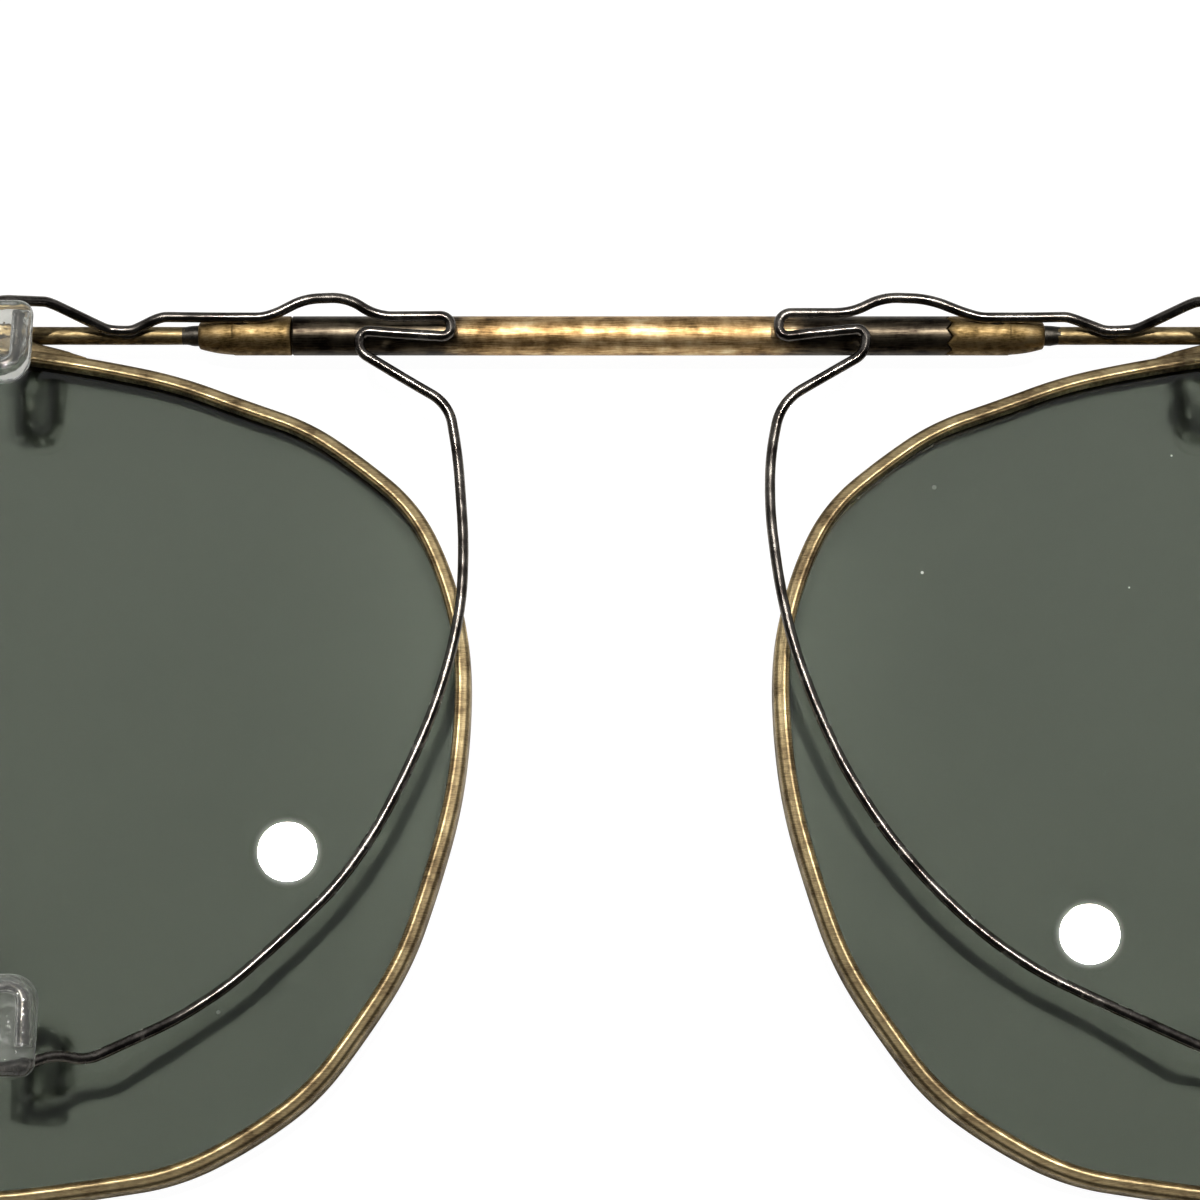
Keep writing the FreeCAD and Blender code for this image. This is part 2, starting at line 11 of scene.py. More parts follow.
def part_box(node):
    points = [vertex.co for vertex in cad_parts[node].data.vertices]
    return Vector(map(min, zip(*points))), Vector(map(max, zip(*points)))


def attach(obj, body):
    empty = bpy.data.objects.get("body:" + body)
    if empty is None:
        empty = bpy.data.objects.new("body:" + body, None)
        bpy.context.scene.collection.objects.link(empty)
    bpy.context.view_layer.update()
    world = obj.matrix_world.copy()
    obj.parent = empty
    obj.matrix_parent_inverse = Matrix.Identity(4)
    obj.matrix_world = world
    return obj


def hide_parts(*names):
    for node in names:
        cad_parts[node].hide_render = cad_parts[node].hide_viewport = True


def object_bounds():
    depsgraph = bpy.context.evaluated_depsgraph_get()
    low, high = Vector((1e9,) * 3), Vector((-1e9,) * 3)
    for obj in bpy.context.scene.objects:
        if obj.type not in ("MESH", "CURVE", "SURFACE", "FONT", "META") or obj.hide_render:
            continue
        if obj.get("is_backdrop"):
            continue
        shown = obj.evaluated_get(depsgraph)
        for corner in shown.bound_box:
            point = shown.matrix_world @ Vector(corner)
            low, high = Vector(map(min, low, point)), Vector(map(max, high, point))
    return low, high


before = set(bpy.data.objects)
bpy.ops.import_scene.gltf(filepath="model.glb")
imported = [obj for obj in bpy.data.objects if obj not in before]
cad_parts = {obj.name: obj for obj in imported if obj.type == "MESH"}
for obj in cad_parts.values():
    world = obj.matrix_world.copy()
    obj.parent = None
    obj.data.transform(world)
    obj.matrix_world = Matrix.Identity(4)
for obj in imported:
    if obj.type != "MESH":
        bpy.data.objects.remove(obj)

LOG = logging.getLogger("clip_on_sunglasses")
MM = 0.001
Ring = list[Vector]
Tree = bpy.types.NodeTree
Socket = bpy.types.NodeSocket


# Shared sizes, in millimetres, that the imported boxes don't give

@dataclass(frozen=True)
class Sizes:
    """Sizes of the clip-on in millimetres, as they were set on the drawing board."""

    rim_radial: float = 0.8
    rim_depth: float = 2.2
    rim_round: float = 0.3
    rim_valley: float = 0.06
    rim_fall: float = 0.07
    groove_depth: float = 0.35
    split_gap: float = 0.16
    lens_play: float = 0.01
    lens_bevel: float = 0.08
    bar_radius: float = 0.475
    tube_wall: float = 0.25
    tooth_count: int = 8
    tooth_depth: float = 0.26
    tooth_share: float = 0.92
    seam_gap: float = 0.05
    collar_length: float = 3.05
    collar_tip_radius: float = 0.71
    wire_radius: float = 0.275
    braze_sink: float = 0.03
    rim_clearance: float = 0.5
    loop_clearance: float = 0.25
    bed_angle: float = 27.0
    bed_length: float = 0.6
    left_bed_inward: float = 6.9
    right_bed_inward: float = 7.2
    left_rise_outward: float = 2.2
    right_rise_outward: float = 1.55
    hump_rise: float = 1.58
    lower_claw_rise: float = 6.05
    lower_claw_inward: float = 4.15
    right_lower_shift: float = 2.4
    right_lower_lift: float = 0.45
    pad_gap: float = 4.35
    pad_width: float = 3.05
    pad_thickness: float = 1.4
    pad_heel_drop: float = 0.3
    upper_pad_length: float = 4.32
    lower_pad_length: float = 4.85
    upper_pad_inward: float = 1.75
    lower_pad_inward: float = 3.82
    tunnel_play: float = 0.05


SIZES = Sizes()

# The rim's outline: share of half width, share of half height, heading in degrees, nose at -1.
OUTLINE_KNOTS = (
    (0.118, 1.0, 180), (-0.323, 0.936, 194), (-0.604, 0.829, 202), (-0.832, 0.663, 224),
    (-0.982, 0.348, 258), (-1.0, 0.160, 270), (-0.963, -0.191, 283), (-0.844, -0.548, 299),
    (-0.655, -0.809, 320), (-0.375, -0.957, 350), (0.0, -1.0, 0), (0.454, -0.926, 17),
    (0.769, -0.688, 50), (0.959, -0.270, 75), (1.0, 0.135, 90), (0.931, 0.539, 112),
    (0.742, 0.791, 150), (0.434, 0.944, 163),
)
SPLIT_KNOT = 14

# The fine line rolled beside the rim's inner edge: inset, and depth as a share of the valley.
RIM_LINE = (
    (0.58, 0.15), (0.62, 0.5), (0.66, 1.0), (0.69, 0.6), (0.73, 0.4), (0.77, 1.0), (0.79, 1.8),
    (SIZES.rim_radial, 3.0),
)


class Side(Enum):
    """The two lens frames, by the sign of X on which they lie."""

    LEFT = -1
    RIGHT = 1

    @property
    def word(self) -> str:
        """Name that pieces and bodies of this side start with."""
        return self.name.lower()


# Materials

def linear(hex_colour: str) -> tuple[float, float, float, float]:
    """Turn an sRGB hex colour into linear RGBA.

    Args:
        hex_colour: Six hex digits after a hash sign.

    Returns:
        Red, green, blue and an alpha of 1, for a shader socket.
    """
    values = []
    for start in (1, 3, 5):
        share = int(hex_colour[start:start + 2], 16) / 255
        values.append(share / 12.92 if share <= 0.04045 else ((share + 0.055) / 1.055) ** 2.4)
    return values[0], values[1], values[2], 1.0


def per_mm(size: float) -> float:
    """Scale of a pattern in metres, from the size of its features.

    Args:
        size: Size of a feature in millimetres.

    Returns:
        Scale for a texture node.
    """
    return 1 / (size * MM)


def add_node(tree: Tree, kind: str, settings: dict, links: Optional[dict] = None) -> bpy.types.Node:
    """Add one node with its settings and the links into it.

    Args:
        tree: Node tree to add to.
        kind: Node type, such as ShaderNodeTexNoise.
        settings: Attributes and input values, by name or by input number.
        links: Output sockets by the name or number of the input they feed.

    Returns:
        The new node.
    """
    node = tree.nodes.new(kind)
    for name, value in settings.items():
        if isinstance(name, int) or name in node.inputs:
            node.inputs[name].default_value = value
        else:
            setattr(node, name, value)
    for name, source in (links or {}).items():
        tree.links.new(source, node.inputs[name])
    return node


def new_tree(name: str) -> tuple[bpy.types.Material, Tree]:
    """Make an empty node material.

    Args:
        name: Name of the finish.

    Returns:
        The material and its cleared node tree.
    """
    material = bpy.data.materials.new(name)
    material.use_nodes = True
    material.node_tree.nodes.clear()
    return material, material.node_tree


def ramp_between(tree: Tree, source: Socket, stops: Sequence[tuple[float, str]]) -> Socket:
    """Colour ramp over a value.

    Args:
        tree: Node tree to add to.
        source: Value that the ramp reads.
        stops: Places from 0 to 1 with sRGB hex colours.

    Returns:
        The ramp's colour socket.
    """
    node = add_node(tree, "ShaderNodeValToRGB", {}, {"Fac": source})
    elements = node.color_ramp.elements
    while len(elements) < len(stops):
        elements.new(0.5)
    for element, (place, colour) in zip(elements, stops):
        element.position = place
        element.color = linear(colour)
    return node.outputs["Color"]


def own_place(tree: Tree) -> Socket:
    """Coordinates that stay with the object.

    Args:
        tree: Node tree to add to.

    Returns:
        The coordinate socket, in metres.
    """
    return add_node(tree, "ShaderNodeTexCoord", {}).outputs["Object"]


def noise_of(tree: Tree, size: float, detail: float, roughness: float = 0.5) -> Socket:
    """Noise from 0 to 1 that stays with the object.

    Args:
        tree: Node tree to add to.
        size: Size of a feature in millimetres.
        detail: Number of finer layers.
        roughness: Weight of the finer layers.

    Returns:
        The noise's value socket.
    """
    node = add_node(tree, "ShaderNodeTexNoise",
                    {"Scale": per_mm(size), "Detail": detail, "Roughness": roughness},
                    {"Vector": own_place(tree)})
    return node.outputs["Fac"]


def blend_values(tree: Tree, share: float, first: Socket, second: Socket) -> Socket:
    """Mix of two values.

    Args:
        tree: Node tree to add to.
        share: Share of the second value.
        first: First value.
        second: Second value.

    Returns:
        The mixed value's socket.
    """
    node = add_node(tree, "ShaderNodeMix", {"data_type": "FLOAT", "Factor": share}, {2: first, 3: second})
    return node.outputs[0]


def calculate(tree: Tree, operation: str, values: dict, links: dict) -> Socket:
    """Sum, product or other result of one step of arithmetic.

    Args:
        tree: Node tree to add to.
        operation: Name of the operation.
        values: Constants by input number.
        links: Sockets by input number.

    Returns:
        The result's socket.
    """
    return add_node(tree, "ShaderNodeMath", {"operation": operation, **values}, links).outputs[0]


def map_range(tree: Tree, value: Socket, source: tuple[float, float], target: tuple[float, float],
              smooth: bool = False) -> Socket:
    """Value carried from one range to another.

    Args:
        tree: Node tree to add to.
        value: Value to carry over.
        source: Its own range.
        target: The range of the result.
        smooth: Whether the ends are eased.

    Returns:
        The result's socket.
    """
    node = add_node(tree, "ShaderNodeMapRange",
                    {"interpolation_type": "SMOOTHSTEP" if smooth else "LINEAR", "From Min": source[0],
                     "From Max": source[1], "To Min": target[0], "To Max": target[1]}, {"Value": value})
    return node.outputs["Result"]


def choose(tree: Tree, share: Socket, first: Socket, second: Socket) -> Socket:
    """Mix of two surfaces.

    Args:
        tree: Node tree to add to.
        share: Share of the second surface.
        first: First surface.
        second: Second surface.

    Returns:
        The mixed surface's socket.
    """
    return add_node(tree, "ShaderNodeMixShader", {}, {0: share, 1: first, 2: second}).outputs["Shader"]


def clear_to_lamps(tree: Tree, surface: Socket, clear: Socket) -> None:
    """Finish a tree whose surface lets lamplight through, so that shadows fall on what lies below.

    Args:
        tree: Node tree to finish.
        surface: What the eye sees.
        clear: What lamplight meets.
    """
    path = add_node(tree, "ShaderNodeLightPath", {})
    finish_tree(tree, choose(tree, path.outputs["Is Shadow Ray"], surface, clear))


def finish_tree(tree: Tree, surface: Socket) -> None:
    """Join a surface to the material's output.

    Args:
        tree: Node tree to finish.
        surface: The finished surface.
    """
    add_node(tree, "ShaderNodeOutputMaterial", {}, {"Surface": surface})


def finish_metal(tree: Tree, colour: Socket, roughness: Socket, relief: Socket, strength: float,
                 depth: float) -> None:
    """Finish a tree as bare metal with a fine relief.

    Args:
        tree: Node tree to finish.
        colour: Colour of the metal.
        roughness: Its roughness.
        relief: Height of the relief, from 0 to 1.
        strength: How strongly the relief shows.
        depth: Depth of the relief in millimetres.
    """
    bump = add_node(tree, "ShaderNodeBump", {"Strength": strength, "Distance": depth * MM},
                    {"Height": relief})
    shader = add_node(tree, "ShaderNodeBsdfPrincipled", {"Metallic": 1.0},
                      {"Base Color": colour, "Roughness": roughness, "Normal": bump.outputs["Normal"]})
    finish_tree(tree, shader.outputs["BSDF"])


@dataclass(frozen=True)
class AgedGilt:
    """Gold-plated nickel silver, brushed across and darkened with age.

    The plating shows as warm gold on what hands rub and as brown where patina stays, in short
    slanting brush marks.
    """

    name: str = "aged_gilt"
    dark: str = "#463A27"
    brown: str = "#746349"
    gold: str = "#9C8A66"
    bright: str = "#C2AE86"
    roughness_low: float = 0.36
    roughness_high: float = 0.54
    brush_width: float = 0.04
    brush_length: float = 0.4
    brush_turn: float = 38.0
    blotch: float = 1.6

    def pattern(self, tree: Tree) -> tuple[Socket, Socket]:
        """Brush marks and patina blotches.

        Args:
            tree: Node tree to add to.

        Returns:
            Brush marks and their mix with blotches, each from 0 to 1.
        """
        turned = add_node(tree, "ShaderNodeMapping",
                          {"Rotation": (0, 0, math.radians(self.brush_turn)),
                           "Scale": (per_mm(self.brush_length), per_mm(self.brush_width), per_mm(0.4))},
                          {"Vector": own_place(tree)})
        brush = add_node(tree, "ShaderNodeTexNoise", {"Scale": 1.0, "Detail": 3.0, "Roughness": 0.6},
                         {"Vector": turned.outputs["Vector"]}).outputs["Fac"]
        blotch = noise_of(tree, self.blotch, 4.0, 0.65)
        return brush, blend_values(tree, 0.6, brush, blotch)

    def stops(self) -> list[tuple[float, str]]:
        """Patina to rubbed gold, over the pattern.

        Returns:
            Places from 0 to 1 with their colours.
        """
        return [(0.34, self.dark), (0.43, self.brown), (0.53, self.gold), (0.66, self.bright)]

    def build(self) -> bpy.types.Material:
        """Make the material.

        Returns:
            The finished material.
        """
        material, tree = new_tree(self.name)
        brush, mixed = self.pattern(tree)
        rough = map_range(tree, mixed, (0.35, 0.65), (self.roughness_high, self.roughness_low))
        finish_metal(tree, ramp_between(tree, mixed, self.stops()), rough, brush, 0.35, 0.012)
        return material


@dataclass(frozen=True)
class GoldMiddleBridge(AgedGilt):
    """The same plating on the bridge tube: gold in the middle, nearly black towards both ends."""

    name: str = "gold_middle_bridge"
    dark: str = "#4A3A24"
    brown: str = "#866A44"
    gold: str = "#C0A072"
    bright: str = "#E8D6AC"
    brush_turn: float = 4.0
    brush_length: float = 1.1
    gold_half_length: float = 8.4
    fade: float = 1.5
    drift: float = 2.0
    roughness_middle: float = 0.48
    roughness_ends: float = 0.36
    end_dark: str = "#17100C"
    end_light: str = "#6A6050"

    def build(self) -> bpy.types.Material:
        """Make the material with its fade along the tube.

        Returns:
            The finished material.
        """
        material, tree = new_tree(self.name)
        brush, mixed = self.pattern(tree)
        middle = ramp_between(tree, mixed, self.stops())
        ends = ramp_between(tree, mixed, [(0.4, self.end_dark), (0.68, self.end_light)])
        split = add_node(tree, "ShaderNodeSeparateXYZ", {}, {"Vector": own_place(tree)})
        away = calculate(tree, "ABSOLUTE", {}, {0: split.outputs["X"]})
        drift = calculate(tree, "MULTIPLY_ADD", {1: 2 * self.drift * MM, 2: -self.drift * MM}, {0: mixed})
        ragged = calculate(tree, "SUBTRACT", {}, {0: away, 1: drift})
        fade = map_range(tree, ragged, ((self.gold_half_length - self.fade) * MM,
                                        (self.gold_half_length + self.fade) * MM), (0.0, 1.0), smooth=True)
        colour = add_node(tree, "ShaderNodeMix", {"data_type": "RGBA"}, {0: fade, 6: middle, 7: ends})
        rough = map_range(tree, fade, (0.0, 1.0), (self.roughness_middle, self.roughness_ends))
        finish_metal(tree, colour.outputs[2], rough, brush, 0.25, 0.01)
        return material


@dataclass(frozen=True)
class PlainMetal:
    """A metal with fine grain: drawn spring wire, solder, turned brass or a steel screw.

    Drawn wire under black nickel shows a hard thin highlight that the drawing lines break into
    grains; solder is duller and lumpy.
    """

    name: str
    dark: str
    light: str
    roughness_low: float
    roughness_high: float
    grain: float
    bump: float
    wear_per_grain: float = 9.0

    def build(self) -> bpy.types.Material:
        """Make the material.

        Returns:
            The finished material.
        """
        material, tree = new_tree(self.name)
        grain = noise_of(tree, self.grain, 4.0, 0.7)
        wear = noise_of(tree, self.grain * self.wear_per_grain, 2.0)
        mixed = blend_values(tree, 0.5, grain, wear)
        colour = ramp_between(tree, mixed, [(0.36, self.dark), (0.62, self.light)])
        rough = map_range(tree, wear, (0.35, 0.65), (self.roughness_low, self.roughness_high))
        finish_metal(tree, colour, rough, grain, 0.4, self.bump)
        return material


@dataclass(frozen=True)
class SmokedGlass:
    """Grey-green mineral glass, ground flat and polished, with a little dust on it."""

    name: str = "smoked_glass"
    tint: str = "#858A83"
    dust: str = "#C9CCC6"
    ior: float = 1.52
    speck_spacing: float = 3.4
    speck_share: float = 0.042
    speck_cover: float = 0.9

    def specks(self, tree: Tree) -> Socket:
        """Where grains of dust lie.

        Args:
            tree: Node tree to add to.

        Returns:
            Cover of dust, from 0 to 1.
        """
        cells = add_node(tree, "ShaderNodeTexVoronoi", {"Scale": per_mm(self.speck_spacing)},
                         {"Vector": own_place(tree)})
        size = calculate(tree, "MULTIPLY", {1: self.speck_share}, {0: cells.outputs["Color"]})
        inside = calculate(tree, "LESS_THAN", {}, {0: cells.outputs["Distance"], 1: size})
        return calculate(tree, "MULTIPLY", {1: self.speck_cover}, {0: inside})

    def build(self) -> bpy.types.Material:
        """Make the material.

        Returns:
            The finished material.
        """
        material, tree = new_tree(self.name)
        glass = add_node(tree, "ShaderNodeBsdfPrincipled",
                         {"Base Color": linear(self.tint), "Roughness": 0.0, "IOR": self.ior,
                          "Transmission Weight": 1.0})
        dust = add_node(tree, "ShaderNodeBsdfDiffuse", {"Color": linear(self.dust)})
        per_surface = [math.sqrt(value) for value in linear(self.tint)[:3]] + [1.0]
        clear = add_node(tree, "ShaderNodeBsdfTransparent", {"Color": per_surface})
        dusty = choose(tree, self.specks(tree), glass.outputs["BSDF"], dust.outputs["BSDF"])
        clear_to_lamps(tree, dusty, clear.outputs["BSDF"])
        return material


@dataclass(frozen=True)
class SoftClearPlastic:
    """Clear soft vinyl, dip-moulded over the hairpins: wavy skin, high gloss and bright edges."""

    name: str = "soft_clear_plastic"
    tint: str = "#E9EAE6"
    haze: str = "#DCDDD9"
    shade: str = "#7C7D79"
    glint: str = "#FFFFFF"
    ior: float = 1.45
    ripple: float = 0.7
    ripple_depth: float = 0.06

    def build(self) -> bpy.types.Material:
        """Make the material, half clear to lamps.

        Returns:
            The finished material.
        """
        material, tree = new_tree(self.name)
        ripple = noise_of(tree, self.ripple, 2.0)
        bump = add_node(tree, "ShaderNodeBump", {"Strength": 0.8, "Distance": self.ripple_depth * MM},
                        {"Height": ripple})
        body = add_node(tree, "ShaderNodeBsdfPrincipled",
                        {"Base Color": linear(self.tint), "Roughness": 0.02, "IOR": self.ior,
                         "Transmission Weight": 1.0}, {"Normal": bump.outputs["Normal"]})
        haze = add_node(tree, "ShaderNodeBsdfPrincipled",
                        {"Base Color": linear(self.haze), "Roughness": 0.2},
                        {"Normal": bump.outputs["Normal"]})
        skin = add_node(tree, "ShaderNodeLayerWeight", {"Blend": 0.35})
        cover = map_range(tree, skin.outputs["Facing"], (0.4, 0.92), (0.05, 0.85))
        misty = choose(tree, cover, body.outputs["BSDF"], haze.outputs["BSDF"])
        caustic = ramp_between(tree, ripple, [(0.46, self.shade), (0.56, self.glint)])
        clear = add_node(tree, "ShaderNodeBsdfTransparent", {}, {"Color": caustic})
        clear_to_lamps(tree, misty, clear.outputs["BSDF"])
        return material


class Finishes:
    """Every finish of the object, built once."""

    def __init__(self) -> None:
        """Build all materials."""
        self.rim = AgedGilt().build()
        self.bar = AgedGilt(name="aged_gilt_bar", brush_turn=8.0, dark="#2F2719", brown="#574A33",
                            gold="#7A694A", bright="#A08F6A", roughness_low=0.4, roughness_high=0.58).build()
        self.collar = AgedGilt(name="aged_gilt_collar", brush_turn=24.0, dark="#3A2D1A", brown="#665332",
                               gold="#8B744E", bright="#A8936B", blotch=0.9, roughness_low=0.42,
                               roughness_high=0.6).build()
        self.bridge = GoldMiddleBridge().build()
        self.wire = PlainMetal("black_nickel_wire", "#2B2522", "#75706A", 0.16, 0.3, 0.12, 0.011).build()
        self.solder = PlainMetal("silver_solder", "#1C1A17", "#504C45", 0.36, 0.5, 0.14, 0.03).build()
        self.brass = PlainMetal("turned_brass", "#8C6E3C", "#C2A164", 0.22, 0.36, 0.06, 0.004).build()
        self.steel = PlainMetal("screw_steel", "#6F6C66", "#B3AFA6", 0.2, 0.34, 0.08, 0.004).build()
        self.glass = SmokedGlass().build()
        self.clear = SoftClearPlastic().build()


# Mesh making

def new_object(name: str, verts: Sequence[Vector], faces: Sequence[Sequence[int]],
               material: Optional[bpy.types.Material] = None) -> bpy.types.Object:
    """Make an object and link it to the scene.

    Args:
        name: Its name.
        verts: Corners in millimetres.
        faces: Corner numbers of each face.
        material: Its finish, if it has one.

    Returns:
        The object.
    """
    mesh = bpy.data.meshes.new(name)
    mesh.from_pydata([tuple(v * MM) for v in verts], [], [tuple(f) for f in faces])
    if material:
        mesh.materials.append(material)
    made = bpy.data.objects.new(name, mesh)
    bpy.context.scene.collection.objects.link(made)
    return made


class Skin:
    """Corners and faces gathered from lofts, before they become one piece."""

    def __init__(self) -> None:
        """Start empty."""
        self.verts: list[Vector] = []
        self.faces: list[tuple[int, ...]] = []

    def loft(self, rings: Sequence[Ring], loop: bool = False, caps: bool = True, flip: bool = False) -> None:
        """Join rings of equal length with quads.

        Args:
            rings: Closed rings of corners.
            loop: Whether the last ring joins the first.
            caps: Whether to close both ends with a face.
            flip: Whether to turn the faces over.
        """
        start = len(self.verts)
        count = len(rings[0])
        made: list[tuple[int, ...]] = []
        for ring in rings:
            self.verts.extend(ring)
        last = len(rings) if loop else len(rings) - 1
        for row in range(last):
            low = start + row * count
            high = start + ((row + 1) % len(rings)) * count
            for index in range(count):
                after = (index + 1) % count
                made.append((low + index, low + after, high + after, high + index))
        if caps and not loop:
            made.append(tuple(range(start + count - 1, start - 1, -1)))
            top = start + (len(rings) - 1) * count
            made.append(tuple(range(top, top + count)))
        if flip:
            made = [tuple(reversed(face)) for face in made]
        self.faces.extend(made)

    def piece(self, name: str, material: bpy.types.Material, body: str, slot: str,
              crease: float = 40.0) -> bpy.types.Object:
        """Make the gathered faces into one smooth-shaded piece that rides on a body.

        Args:
            name: Name of the piece.
            material: Its finish.
            body: Body that it rides on.
            slot: The record's material slot; not used.
            crease: Angle in degrees above which an edge stays sharp.

        Returns:
            The piece.
        """
        piece = new_object(name, self.verts, self.faces, material)
        piece.data.shade_smooth()
        piece.data.set_sharp_from_angle(angle=math.radians(crease))
        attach(piece, body)
        LOG.info("piece %s: %d faces", name, len(self.faces))
        return piece


def mirrored(rings: Sequence[Ring], side: Side) -> list[Ring]:
    """Rings built on the right, taken to their own side with their faces kept outward.

    Args:
        rings: Rings as built on the right.
        side: The side that they belong to.

    Returns:
        The rings on their own side.
    """
    if side is Side.RIGHT:
        return [list(ring) for ring in rings]
    return [[Vector((-v.x, v.y, v.z)) for v in reversed(ring)] for ring in rings]


def arc_corners(across: float, up: float, radius: float, first: float, last: float,
                parts: int) -> list[tuple[float, float]]:
    """Corners along an arc.

    Args:
        across: Middle of the arc along the first axis.
        up: Middle of the arc along the second axis.
        radius: Its radius.
        first: Angle of the first corner in degrees.
        last: Angle of the last corner.
        parts: Number of edges.

    Returns:
        The corners.
    """
    angles = (math.radians(first + (last - first) * index / parts) for index in range(parts + 1))
    return [(across + radius * math.cos(angle), up + radius * math.sin(angle)) for angle in angles]


def circle_about_x(x: float, y: float, z: float, radius: float, count: int,
                   reach: Optional[Callable[[float], float]] = None) -> Ring:
    """Ring round an axis along X.

    Args:
        x: Place along the axis.
        y: Height of the axis above the frame's middle.
        z: Height of the axis off the table.
        radius: Radius of the ring.
        count: Corners in the ring.
        reach: Extra distance along X by the angle round the axis, in radians.

    Returns:
        The ring, counted so that a loft towards +X faces outward.
    """
    ring = []
    for index in range(count):
        angle = 2 * math.pi * index / count
        shift = reach(angle) if reach else 0.0
        ring.append(Vector((x + shift, y + radius * math.cos(angle), z + radius * math.sin(angle))))
    return ring


def rounded_path(points: Sequence[Vector], step: float) -> Ring:
    """Corners along straight runs joined by tangent arcs, each as large as its runs allow.

    Args:
        points: Bend points.
        step: Greatest distance between two corners of the result.

    Returns:
        The corners from the first point to the last.
    """
    result = [points[0].copy()]

    def run_to(target: Vector) -> None:
        """Add corners along a straight run."""
        start = result[-1].copy()
        parts = max(1, math.ceil((target - start).length / step))
        result.extend(start.lerp(target, index / parts) for index in range(1, parts + 1))

    for before, corner, after in zip(points, points[1:], points[2:]):
        back = before - corner
        ahead = after - corner
        reach = 0.45 * min(back.length, ahead.length)
        back.normalize()
        ahead.normalize()
        half_turn = (math.pi - back.angle(ahead)) / 2
        radius = reach / math.tan(half_turn)
        centre = corner + (back + ahead).normalized() * (radius / math.cos(half_turn))
        run_to(corner + back * reach)
        spoke = corner + back * reach - centre
        axis = (-back).cross(ahead).normalized()
        parts = max(2, math.ceil(2 * half_turn / math.radians(9)), math.ceil(2 * half_turn * radius / step))
        for index in range(1, parts + 1):
            result.append(centre + Matrix.Rotation(2 * half_turn * index / parts, 3, axis) @ spoke)
    run_to(points[-1])
    kept = [result[0]]
    for place in result[1:-1]:
        if (place - kept[-1]).length > 0.4 * step and (place - result[-1]).length > 0.4 * step:
            kept.append(place)
    return kept + [result[-1]]


def tube_rings(path: Sequence[Vector], radius: float, count: int, uneven: float = 0.0,
               round_ends: bool = True) -> list[Ring]:
    """Rings of a round wire along a path, turned as little as possible from one to the next.

    Args:
        path: Corners of the centre line.
        radius: Wire radius.
        count: Corners in each ring.
        uneven: Share by which the radius wanders.
        round_ends: Whether the ends are half balls.

    Returns:
        The rings.
    """
    headings = []
    for index in range(len(path)):
        low = path[max(index - 1, 0)]
        high = path[min(index + 1, len(path) - 1)]
        headings.append((high - low).normalized())
    across = headings[0].orthogonal().normalized()
    rings = []
    for index, (centre, heading) in enumerate(zip(path, headings)):
        across = (across - heading * across.dot(heading)).normalized()
        up = heading.cross(across)
        own = radius * (1 - uneven * (0.5 + 0.5 * noise.noise(centre * 1.7)))
        ring = [centre + across * (own * math.cos(2 * math.pi * k / count))
                + up * (own * math.sin(2 * math.pi * k / count)) for k in range(count)]
        rings.append(ring)
    if round_ends:
        rings = cap_rings(rings[0], path[0], -headings[0], radius)[::-1] + rings[1:-1] \
            + cap_rings(rings[-1], path[-1], headings[-1], radius)
    return rings


def cap_rings(ring: Ring, centre: Vector, outward: Vector, radius: float) -> list[Ring]:
    """Rings of a half ball that closes a wire, inside the wire's own length.

    Args:
        ring: Last full ring of the wire.
        centre: Its centre.
        outward: Unit vector out of the wire's end.
        radius: Wire radius.

    Returns:
        Rings from the wire to the tip.
    """
    rings = []
    for angle in (0, 18, 36, 54, 72, 86):
        share = math.cos(math.radians(angle))
        out = radius * (math.sin(math.radians(angle)) - 1)
        rings.append([centre + (v - centre) * share + outward * out for v in ring])
    return rings


# The rim's outline

